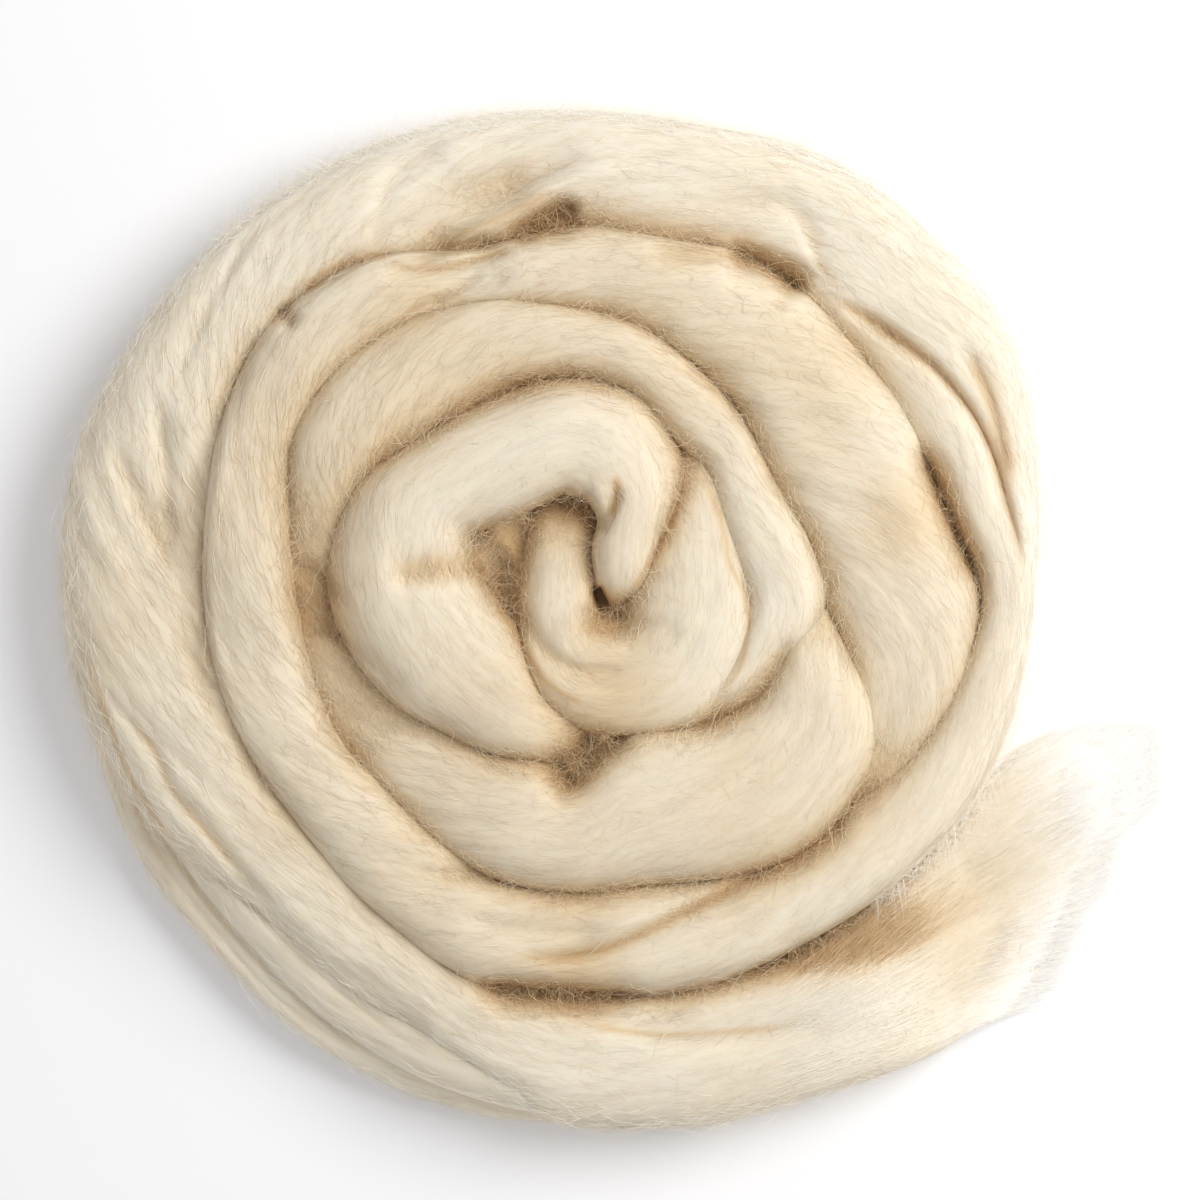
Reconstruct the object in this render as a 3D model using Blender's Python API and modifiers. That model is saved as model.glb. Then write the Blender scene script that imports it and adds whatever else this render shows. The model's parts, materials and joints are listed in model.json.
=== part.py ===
"""Wool roving: one soft, untwisted strand of combed wool, wound flat from its
middle outwards in a little over four turns, with the outer end left loose and
fanned out on the table.

Everything is in metres with +Z up. The origin is under the middle of the whole
thing, on the surface it lies on.

The strand is lofted in three runs, as it lies: the fold in the eye of the
winding, the whorl that wraps it, and the outer turns. Each run is a table with
one row for each section: where its inner and outer edges are, and how high it
stands. The runs press into each other along their creases, so they are fused
into one body, as the wound strand is one body of fibre. The loose end is a
second body, cut from the strand where it leaves the coil.
"""

import math

import bmesh
import bpy
import numpy as np

MM = 0.001

# ---------------------------------------------------------------- sizes, in mm
EYE = (-11.1, 3.7)  # the middle of the winding, seen from above
LAP = 1.8  # how far a turn presses into its neighbour past the crease
SINK = 6.0  # how far the sections run below the table before they are cut flat
SECTION_SIDES = 28
CROWN_POWER = 2.35  # 2 is an ellipse; more is a fuller, flatter top
UNDER_POWER_IN = 6.0  # the underside is pressed nearly square by the table
UNDER_POWER_OUT = 3.0  # and stays rounder on its outer side
WAIST = 0.42  # height of the widest point, as a share of the top
STEPS_PER_ROW = 3
FUSE_GRAIN = 2.4  # grain of the fused body
COIL_TRIANGLES = 6200
CUT_TURN = 1743.0  # the turn, in degrees, where the loose end is cut off
CUT_GAP = 0.3
CUT_WIDE = 50.0  # the cutter's size across the strand
CUT_DEEP = 20.0  # and along it
CUT_OUT = 4.2  # how far the cutter's middle is outside the strand's, to clear the turn beside it
LOOSE_ROWS_STEP = 2
LOOSE_SIDES = 22

# ------------------------------------------------------------------ the strand
# The doubled fold in the eye. Edges are in mm from the eye, top above the table,
# and lean is how far the crown sits towards the outer edge, as a share of the half width.
EYE_FOLD = """
x_in   y_in   x_out  y_out  top  lean
-0.5   36.5   -3.5   36.5   24   0
 1.6   32.0   -6.8   31.0   36   0
 4.6   22.4  -10.8   23.5   43   0
 5.4   11.2  -14.1   11.2   46   0
 6.2    2.0  -16.9   -2.0   46   0
 7.4   -1.6  -16.3  -16.6   46   0.15
 8.6   -3.2   -9.8  -29.2   47   0.3
 9.6   -3.8    1.6  -37.0   48   0.35
10.6   -3.8   14.4  -39.2   48   0.35
11.8   -3.2   28.8  -37.8   48   0.35
13.0   -2.0   41.6  -32.0   48   0.3
14.0    0.0   52.6  -14.0   48   0.25
15.0    4.0   54.9   -3.2   47   0.25
20.0   16.0   52.4   16.0   46   0.2
27.0   26.0   47.2   35.2   43   0.1
31.0   38.0   43.6   46.8   38   0
31.0   48.0   39.0   54.8   32   0
"""

# The wool lower down that closes the eye from below.
EYE_BED = """
x_in   y_in   x_out  y_out  top
-40     6     -40    26     14
-30    -6     -30    32     22
-12   -22     -12    38     23
  6   -26       6    38     20
 22   -24      22    20     14
"""

# The undersides of the turns, pressed together on the table.
UNDERSIDE = """
x_in   y_in   x_out  y_out  top
-122    -30   -122    30     9
-108    -70   -108    70    12
 -70   -108    -70   108    12
   0   -126      0   126    12
  70   -104     70   104    12
 108    -66    108    66    12
 122    -30    122    30     9
"""

# The tucked-in start of the whorl, a thumb that lies over the eye's fold.
WHORL_START = """
x_in   y_in   x_out  y_out  top
 9.0    0.6   18.0    2.4   34
 7.6    4.0   23.6    6.8   44
 7.2   10.2   27.6   12.8   49
 8.6   19.2   32.2   22.4   51
11.0   27.2   35.6   35.2   52
 7.8   34.4   34.4   48.6   52
 2.4   37.6   24.4   63.6   52
-2.6   38.6    8.0   70.0   52
-9.8   35.4   -8.2   69.0   52
-20.6  29.6  -30.4   60.8   51
-29.6  25.6  -49.6   51.0   50
-35.6  20.6  -67.2   38.4   50
"""

# The rest of the whorl. Turn is in degrees round the eye, edges are in mm from it.
WHORL = """
turn  r_in  r_out  top
 525   33    78.5   50
 540   25    77.2   50
 555   21    71.6   50
 570   21    65.0   50
 585   23    58.4   49
 600   27    55.6   48
 615   32    52.4   45
 630   35.5  50.0   40
 645   38.5  47.5   35
 660   43    50.0   33
 675   46.5  57.0   39
 690   51.5  64.5   44
 705   53.5  71.5   46
 720   54.5  78.2   47
 735   53    75.4   47
 750   54.5  73.0   46
 765   60.5  77.2   45
 780   63.5  82.0   45
 795   69    88.2   46
 810   71    92.6   46
 825   69    98.0   46
 840   68.5 103.6   46
 855   72.5 106.8   46
 870   78   104.2   46
 885   78    95.4   46
 900   76.5  91.6   46
 915   71    90.0   45
 930   64.5  88.2   45
 945   58    87.2   45
 960   55    89.2   45
 975   52    91.6   46
 990   54    93.2   46
1005   46    94.6   47
1020   47.5 101.4   48
1035   56   107.0   48
1050   64   106.2   48
1060   65.5  99.0   47
1068   67.5  89.0   44
1078   74    81.0   36
"""

# The outer turns, from where they come out from under the whorl to the cut.
OUTER = """
turn  r_in  r_out  top
1038  104   113.0   22
1048  100   118.0   33
1058   93   121.0   39
1068   86.5 125.0   42
1080   79   126.0   44
1095   74.5 121.0   45
1110   72.5 119.0   46
1125   77   118.6   46
1140   81.8 121.8   46
1155   88   118.8   45
1170   92.4 119.4   44
1185   97.8 116.2   43
1200  103.4 126.2   43
1215  106.6 130.4   43
1230  103.6 127.2   43
1245   95.2 118.6   43
1260   91.4 120.4   43
1275   90   117.0   42
1290   88.2 114.2   42
1305   87   113.6   42
1320   88.8 117.8   42
1335   91.4 125.6   42
1350   93   125.6   42
1365   94.6 131.0   42
1380  102   134.0   41
1395  109   138.0   41
1410  115.6 141.0   40
1425  123.6 142.6   39
1440  132   144.0   38
1455  121.6 150.0   39
1470  119   159.6   39
1485  118.8 160.0   39
1500  123   160.0   38
1515  118.8 159.0   38
1530  119.4 157.6   38
1545  116   157.4   38
1560  126   158.4   38
1575  130.6 161.4   38
1590  127.4 163.8   38
1605  118.8 164.4   37
1620  120.6 163.2   37
1635  117   158.6   37
1650  114.2 150.0   37
1665  113.6 142.0   37
1680  117.8 142.6   37
1695  125.8 148.6   37
1710  126   161.0   36
1725  131.4 170.0   35
1743  139   180.0   32
1748  142   184.0   31
"""

# Two slack folds of the outermost turn, flatter, outside and under it.
SLACK_FOLD_A = """
turn  r_in  r_out  top
1618  140   157.0   14
1628  134   155.4   22
1640  130   152.0   26
1655  126   151.0   27
1670  126   153.0   27
1682  130   157.0   26
1694  136   160.0   24
1706  144   162.0   16
"""

SLACK_FOLD_B = """
turn  r_in  r_out  top
1606  146   161.0    9
1622  142   163.0   15
1635  136   160.2   17
1650  136   160.2   18
1665  138   160.6   18
1680  142   163.0   18
1696  146   166.0   16
1712  150   165.0   12
1724  150   163.0    8
"""

# The loose end, laid out flat. Edges are in mm from the eye, as it is fanned:
# in is the edge by the coil, out the far edge. It starts at the strand's cut.
LOOSE_END = """
x_in    y_in   x_out   y_out  top
100.6  -101.6  118.0  -146.5   24
114.6   -90.0  130.0  -141.0   19
125.0   -78.0  139.0  -136.0   15
135.2   -61.0  148.0  -129.5   13
147.0   -48.0  155.0  -112.5   10
160.0   -43.0  161.5   -99.0    8
172.0   -41.0  169.0   -86.0    7
183.0   -46.0  178.5   -75.0    6
187.2   -56.0  185.0   -67.5    4
"""


def table(text):
    """The rows of a table as a list of {column: number}."""
    head, *rows = [line.split() for line in text.strip().splitlines()]
    return [dict(zip(head, map(float, row))) for row in rows]


def edges(row):
    """(inner edge, outer edge, top, lean) of a row, the edges seen from above, in mm."""
    if "turn" in row:
        a = math.radians(row["turn"])
        way = np.array([math.cos(a), math.sin(a)])
        inner, outer = way * row["r_in"], way * row["r_out"]
    else:
        inner = np.array([row["x_in"], row["y_in"]])
        outer = np.array([row["x_out"], row["y_out"]])
    return inner, outer, row["top"], row.get("lean", 0.0)


def smooth(rows, steps):
    """Catmull-Rom sections through the rows, steps to a row, as an array of x_in, y_in, x_out, y_out, top, lean."""
    p = np.array([[*a, *b, t, n] for a, b, t, n in map(edges, rows)])
    p = np.vstack([2 * p[0] - p[1], p, 2 * p[-1] - p[-2]])
    made = []
    for i in range(1, len(p) - 2):
        for k in range(steps):
            t = k / steps
            made.append(
                0.5
                * (
                    2 * p[i]
                    + (p[i + 1] - p[i - 1]) * t
                    + (2 * p[i - 1] - 5 * p[i] + 4 * p[i + 1] - p[i + 2]) * t**2
                    + (3 * p[i] - p[i - 1] - 3 * p[i + 1] + p[i + 2]) * t**3
                )
            )
    return np.array(made + [p[-2]])


def power(x, p):
    return math.copysign(abs(x) ** (2 / p), x)


def loft(bm, sections, sides, lap, sink):
    """A closed tube through the sections: full on top, pressed flat below, and rounder on its outer side."""
    rings = []
    for x_in, y_in, x_out, y_out, top, lean in sections:
        inner, outer = np.array([x_in, y_in]), np.array([x_out, y_out])
        middle, half = (inner + outer) / 2, np.linalg.norm(outer - inner) / 2
        way = (outer - inner) / (2 * half)
        waist = WAIST * top
        ring = []
        for k in range(sides):
            a = 2 * math.pi * k / sides
            c, s = math.cos(a), math.sin(a)
            under = UNDER_POWER_OUT if c > 0 else UNDER_POWER_IN
            p = CROWN_POWER if s >= 0 else under
            reach = top - waist if s >= 0 else waist + sink
            u, v = power(c, p), power(s, p)
            x, y = middle + way * (half + lap) * (u + lean * max(v, 0.0))
            z = waist + reach * v
            ring.append(
                bm.verts.new(((x + EYE[0]) * MM, (y + EYE[1]) * MM, z * MM))
            )
        rings.append(ring)
    for one, two in zip(rings, rings[1:]):
        for k in range(sides):
            n = (k + 1) % sides
            bm.faces.new((one[k], two[k], two[n], one[n]))
    bm.faces.new(rings[0])
    bm.faces.new(rings[-1][::-1])


def mesh_of(name, sections_list, sides, lap, sink):
    bm = bmesh.new()
    for sections in sections_list:
        loft(bm, sections, sides, lap, sink)
    bmesh.ops.recalc_face_normals(bm, faces=bm.faces)
    mesh = bpy.data.meshes.new(name)
    bm.to_mesh(mesh)
    bm.free()
    return mesh


def evaluated(obj):
    graph = bpy.context.evaluated_depsgraph_get()
    return bpy.data.meshes.new_from_object(obj.evaluated_get(graph), depsgraph=graph)


def outer_shell(mesh):
    """Leaves only the shell that holds the rest, so that no hollow is shut in between the turns."""
    bm = bmesh.new()
    bm.from_mesh(mesh)
    left, shells = set(bm.verts), []
    while left:
        todo, shell = [left.pop()], set()
        while todo:
            v = todo.pop()
            shell.add(v)
            near = {e.other_vert(v) for e in v.link_edges} & left
            left -= near
            todo += near
        shells.append(shell)
    shells.sort(key=len)
    bmesh.ops.delete(bm, geom=[v for s in shells[:-1] for v in s], context="VERTS")
    bm.to_mesh(mesh)
    bm.free()


def strand_cut(shift):
    """(middle, along, across) of the upright plane where the strand is cut, shift mm further along it, seen from above."""
    a = math.radians(CUT_TURN)
    row = next(r for r in table(OUTER) if r["turn"] == CUT_TURN)
    out = np.array([math.cos(a), math.sin(a)])
    along = np.array([-math.sin(a), math.cos(a)])
    return out * (row["r_in"] + row["r_out"]) / 2 + along * shift, along, out


def loose_sections():
    """The loose end's sections, with the first one on the cut itself."""
    middle, _, out = strand_cut(CUT_GAP)
    row = next(r for r in table(OUTER) if r["turn"] == CUT_TURN)
    half = (row["r_out"] - row["r_in"]) / 2 - 0.5
    root = {
        "x_in": middle[0] - out[0] * half,
        "y_in": middle[1] - out[1] * half,
        "x_out": middle[0] + out[0] * half,
        "y_out": middle[1] + out[1] * half,
        "top": row["top"] - 2,
    }
    return smooth([root] + table(LOOSE_END), LOOSE_ROWS_STEP)


def material(name, colour, rough):
    made = bpy.data.materials.new(name)
    made.use_nodes = True
    shader = made.node_tree.nodes["Principled BSDF"]
    shader.inputs["Base Color"].default_value = (*colour, 1)
    shader.inputs["Roughness"].default_value = rough
    shader.inputs["Metallic"].default_value = 0.0
    return made


def collection(name, hidden=False):
    made = bpy.data.collections.new(name)
    made.hide_render = hidden
    bpy.context.scene.collection.children.link(made)
    return made


def box_cutter(name, size, place, turn, into):
    """A box of this size, its middle at place, turned about Z. It's never shown."""
    bpy.ops.mesh.primitive_cube_add(size=1.0, location=place, rotation=(0, 0, turn))
    cutter = bpy.context.object
    cutter.name = name
    cutter.scale = size
    cutter.hide_render = True
    cutter.display_type = "WIRE"
    for home in list(cutter.users_collection):
        home.objects.unlink(cutter)
    into.objects.link(cutter)
    return cutter


def boolean(obj, cutter):
    m = obj.modifiers.new("cut_" + cutter.name, "BOOLEAN")
    m.operation = "DIFFERENCE"
    m.object = cutter


def main():
    for obj in list(bpy.data.objects):
        bpy.data.objects.remove(obj)
    parts, helpers = collection("wool_roving"), collection("cutters", hidden=True)

    # The wound coil: the runs fused, with only the outer shell kept.
    runs = [
        smooth(table(UNDERSIDE), STEPS_PER_ROW),
        smooth(table(EYE_BED), STEPS_PER_ROW),
        smooth(table(EYE_FOLD), STEPS_PER_ROW),
        smooth(table(WHORL_START) + table(WHORL), STEPS_PER_ROW),
        smooth(table(OUTER), STEPS_PER_ROW),
        smooth(table(SLACK_FOLD_A), STEPS_PER_ROW),
        smooth(table(SLACK_FOLD_B), STEPS_PER_ROW),
    ]
    rough = bpy.data.objects.new(
        "runs", mesh_of("runs", runs, SECTION_SIDES, LAP, SINK)
    )
    parts.objects.link(rough)
    fuse = rough.modifiers.new("fuse", "REMESH")
    fuse.mode = "VOXEL"
    fuse.voxel_size = FUSE_GRAIN * MM
    fuse.adaptivity = 0.0
    ease = rough.modifiers.new("ease", "SMOOTH")
    ease.factor = 0.5
    ease.iterations = 3
    fused = evaluated(rough)
    bpy.data.objects.remove(rough)
    outer_shell(fused)
    fused.calc_loop_triangles()
    fused.name = "roving_coil"
    coil = bpy.data.objects.new("roving_coil", fused)
    parts.objects.link(coil)
    thin = coil.modifiers.new("thin", "DECIMATE")
    thin.ratio = COIL_TRIANGLES / len(fused.loop_triangles)

    # The table cuts both bodies flat, and an upright cut parts the loose end from the strand.
    table_top = box_cutter("table_top", (0.6, 0.6, 0.05), (0, 0, -0.025), 0.0, helpers)
    middle, along, out = strand_cut(CUT_DEEP / 2)
    x, y = (middle + out * CUT_OUT + np.array(EYE)) * MM
    strand_end = box_cutter(
        "strand_end",
        (CUT_WIDE * MM, CUT_DEEP * MM, 0.12),
        (x, y, 0.03),
        math.atan2(out[1], out[0]),
        helpers,
    )
    boolean(coil, strand_end)
    boolean(coil, table_top)

    # The loose end, a flat fan that starts a hair beyond the strand's cut.
    end = bpy.data.objects.new(
        "loose_end", mesh_of("loose_end", [loose_sections()], LOOSE_SIDES, 0.0, SINK)
    )
    parts.objects.link(end)
    boolean(end, table_top)

    wool = material("combed_wool", (0.80, 0.71, 0.56), 0.9)
    wool_end = material("combed_wool_end", (0.86, 0.79, 0.66), 0.9)
    for obj, finish in ((coil, wool), (end, wool_end)):
        obj.data.materials.clear()
        obj.data.materials.append(finish)
        obj.data.shade_smooth()


main()
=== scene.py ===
"""The looks of the wool roving: the wound strand with its folds, its combed
fibres, the stray hairs over its creases, and the fanned loose end.

Sizes are in mm and in the coil's own frame unless a name says otherwise: the
tables are measured from EYE, the middle of the winding, and made into metres
when a mesh is built.
"""

import json
import math

import bpy
import numpy as np
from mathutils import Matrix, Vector

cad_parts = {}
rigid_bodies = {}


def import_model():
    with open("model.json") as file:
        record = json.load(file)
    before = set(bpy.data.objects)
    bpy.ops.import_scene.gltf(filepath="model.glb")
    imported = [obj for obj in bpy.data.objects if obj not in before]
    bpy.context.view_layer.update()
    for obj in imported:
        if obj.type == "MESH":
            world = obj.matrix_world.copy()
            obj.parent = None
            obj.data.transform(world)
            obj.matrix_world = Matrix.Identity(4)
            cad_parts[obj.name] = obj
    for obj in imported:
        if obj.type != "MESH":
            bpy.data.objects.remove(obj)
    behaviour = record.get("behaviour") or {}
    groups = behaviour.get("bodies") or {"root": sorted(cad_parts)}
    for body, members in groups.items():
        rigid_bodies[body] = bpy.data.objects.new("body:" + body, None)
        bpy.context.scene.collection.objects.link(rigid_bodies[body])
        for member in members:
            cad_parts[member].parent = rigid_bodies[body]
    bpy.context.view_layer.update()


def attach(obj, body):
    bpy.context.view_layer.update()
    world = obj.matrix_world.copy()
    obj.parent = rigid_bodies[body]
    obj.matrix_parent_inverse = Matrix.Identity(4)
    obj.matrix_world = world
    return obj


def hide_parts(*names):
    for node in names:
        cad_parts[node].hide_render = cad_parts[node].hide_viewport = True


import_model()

MM = 0.001
RNG = np.random.default_rng(41)

# ---------------------------------------------------------------- sizes, in mm
EYE = np.array([-11.1, 3.7])  # the middle of the winding, as in the CAD part
LAP = 2.8  # how far a turn presses into its neighbour past the crease, on average
SINK = 6.0
FLOOR = 0.3  # the underside's height
CROWN_POWER = 2.75
HOLE = np.array([8.0, 0.0])  # the deep small hole where the strand folds back
TUCK = 6  # sections by which the coil and its loose end run into each other
UNDER_POWER_IN = 6.0
UNDER_POWER_OUT = 3.0
WAIST = 0.42
RING_STEP = 1.85  # between sections along the strand
TOP_STATIONS = 96  # points over a section's crown and shoulders
BED_STATIONS = 14  # and under it

# ------------------------------------------------------------------ the strand
# Edges are in mm from the eye, top above the table; lean is how far the crown
# sits towards the outer edge, and twist is the angle in degrees at which the
# fibres cross the strand, from its outer edge to its inner one.
EYE_FOLD = """
x_in   y_in   x_out  y_out  top  lean  twist
 2.0   48.0  -13.0   46.0   18   0      0
 3.2   36.0  -13.0   34.0   29   0      0
 4.2   29.6  -13.4   28.6   35.5 0      0
 4.8   23.4  -14.0   23.5   40   0      2
 5.4   11.2  -15.4   11.2   43.5 0      4
 6.2    2.0  -16.9   -2.0   46   0      6
 7.4   -1.6  -16.3  -16.6   46   0.15   8
 8.6   -3.2   -9.8  -29.2   47   0.3   10
 9.6   -3.8    1.6  -37.0   48   0.35  10
10.6   -3.8   14.4  -39.2   48   0.35  10
11.8   -3.2   28.8  -37.8   48   0.35   8
13.0   -2.0   41.6  -32.0   48   0.3    4
14.0    0.0   52.6  -14.0   48   0.25   0
15.0    4.0   54.9   -3.2   47   0.25   0
20.0   16.0   52.4   16.0   46   0.2    0
27.0   26.0   47.2   35.2   43   0.1    0
31.0   38.0   43.6   46.8   38   0      0
31.0   48.0   39.0   54.8   32   0      0
"""

EYE_BED = """
x_in   y_in   x_out  y_out  top
-40     6     -40    26     15
-30    -6     -30    32     30
-12   -22     -12    38     31
  6   -26       6    38     17
 22   -24      22    20     11
"""

# The undersides of the turns, which show as soft wool where two turns part.
UNDERSIDE = """
x_in   y_in   x_out  y_out  top
-122    -30   -122    30     9
-108    -66   -108    66    18
 -70    -98    -70    98    23
   0   -112      0   112    24
  70    -96     70    96    22
 106    -62    106    62    16
 122    -30    122    30     9
"""

WHORL_START = """
x_in   y_in   x_out  y_out  top  lean  twist
11.6   -2.4   16.0   -1.2   33   0      0
 9.8    2.4   19.8    4.4   44   0      0
 8.6    9.0   23.8   12.4   49  -0.1    0
 9.0   18.0   28.2   22.4   51  -0.2    0
11.4   27.2   33.0   34.4   52  -0.3    2
 8.0   34.4   33.8   47.8   52  -0.34   4
 2.4   37.6   25.0   65.6   52  -0.34   6
-2.6   38.6    8.0   72.4   52  -0.3    8
-9.8   35.4   -8.4   71.4   52  -0.2   10
-20.6  29.6  -30.8   63.0   51  -0.1   12
-29.6  25.6  -49.6   51.0   50   0     12
-35.6  20.6  -67.2   38.4   50   0     10
"""

WHORL = """
turn  r_in  r_out  top  twist
 525   33    78.5   50    6
 540   25    77.2   50    2
 555   21    71.6   50    0
 570   21    65.0   50    0
 585   23    58.4   49    4
 600   27    55.6   48    6
 615   32    52.4   45    6
 630   35.5  50.0   40    4
 645   38.5  47.5   35    0
 660   43    50.0   33    0
 675   46.5  57.0   39    6
 690   51.5  64.5   44   12
 705   53.5  71.5   46   14
 720   54.5  78.2   47   14
 735   53    75.4   47   16
 750   54.5  73.0   46   20
 765   60.5  77.2   45   20
 780   63.5  82.0   45   16
 795   70.5    88.2   46   14
 810   73.5    92.6   46   16
 825   71    98.0   46   18
 840   69.5 103.6   46   20
 855   72.5 106.8   46   24
 870   78   104.2   44   26
 885   78    95.4   37   28
 900   76.5  91.6   33   32
 915   71    90.0   32   34
 930   64.5  88.2   33   30
 945   58    87.2   37   26
 960   55    89.2   42   20
 975   52    91.6   46   16
 990   54    93.2   46   12
1005   46    94.6   47   12
1020   47.5 101.4   48   10
1035   56   107.0   48    8
1050   64   106.2   48    6
1060   65.5  99.0   47    4
1068   67.5  89.0   44    2
1078   74    81.0   36    0
"""

OUTER = """
turn  r_in  r_out  top  twist
1038  104   113.0   22    0
1048  100   118.0   33    6
1058   93   121.0   39   14
1068   86.5 125.0   42   24
1080   79   126.0   44   34
1095   74.5 121.0   45   44
1110   72.5 119.0   46   46
1125   77   118.6   46   40
1140   81.8 121.8   46   30
1155   88   118.8   45   22
1170   92.4 119.4   44   16
1185   97.8 116.2   43   10
1200  103.4 126.2   43   10
1215  106.6 130.4   43   12
1230  103.6 127.2   43   16
1245   95.2 120.8   43   20
1260   91.4 118.0   43   24
1275   90   115.8   42   26
1290   88.2 112.8   42   26
1305   87   113.6   42   30
1320   88.8 117.8   42   30
1335   91.4 125.6   42   24
1350   93   125.6   42   16
1365   94.6 128.4   42   10
1380  102   130.0   41   10
1395  109   134.2   41   10
1410  115.6 141.0   40    8
1425  123.6 142.6   39    6
1440  132   144.0   38    4
1455  121.6 150.0   39    8
1470  119   159.6   39   12
1485  118.8 160.0   39   14
1500  123   160.0   38   12
1515  118.8 156.4   38   10
1530  119.4 154.4   38   12
1545  116   154.6   38   16
1560  126   157.6   38   22
1575  130.6 161.2   38   28
1590  127.4 161.4   38   34
1605  121.0 164.4   37   38
1620  118.2 163.2   37   30
1635  115.8 158.6   37   16
1650  112.8 150.0   37    8
1665  113.6 142.0   37    4
1680  117.8 142.6   37    2
1695  125.8 152.0   37    2
1703  126   160.0   37    3
1710  126   167.0   36    4
1725  128.6 172.4   35    6
1743  135.5   180.0   32    4
"""

LOOSE_END = """
x_in    y_in   x_out   y_out  top  twist
 95.5  -101.0  116.0  -144.0   23    2
109.0   -90.5  125.0  -138.0   15    4
120.5   -78.5  135.5  -132.0    8.5  8
131.0   -65.0  144.0  -123.0    5.4 12
142.0   -55.0  151.0  -111.5    3.8 16
153.0   -50.0  157.0   -99.0    2.9 20
162.0   -49.0  161.0   -87.5    2.4 22
169.0   -51.0  167.0   -78.5    1.9 22
175.0   -57.0  173.0   -70.0    1.3 22
"""

# The fanned end's outline, thin fibres included: x,y in mm from the eye.
FAN_OUTLINE = """
66,-160 88,-153 104,-147 120,-141 136,-136 146,-131 150,-125 155,-112 162,-102
168,-90 170,-81 178,-74 187,-64 184,-44 168,-42 152,-45 136,-51 128,-60
120,-73 104,-86 88,-98 76,-108 66,-116
"""

SLACK_FOLD_A = """
turn  r_in  r_out  top  twist
1618  140   157.0   14    4
1628  134   155.4   22    4
1640  130   152.0   26    4
1655  126   151.0   27    4
1670  126   153.0   27    4
1682  130   157.0   26    4
1694  136   161.0   31    4
1706  142   163.5   33    4
1716  148   165.0   29    4
"""

SLACK_FOLD_B = """
turn  r_in  r_out  top  twist
1606  146   161.0    9    2
1622  142   163.0   15    2
1635  136   160.2   17    2
1650  136   160.2   18    2
1665  138   160.6   18    2
1680  142   163.0   18    2
1692  146   165.5   18    2
1702  147   166.0   17    2
1710  148   165.0   15    2
1718  150   162.0   10    2
"""

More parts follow.
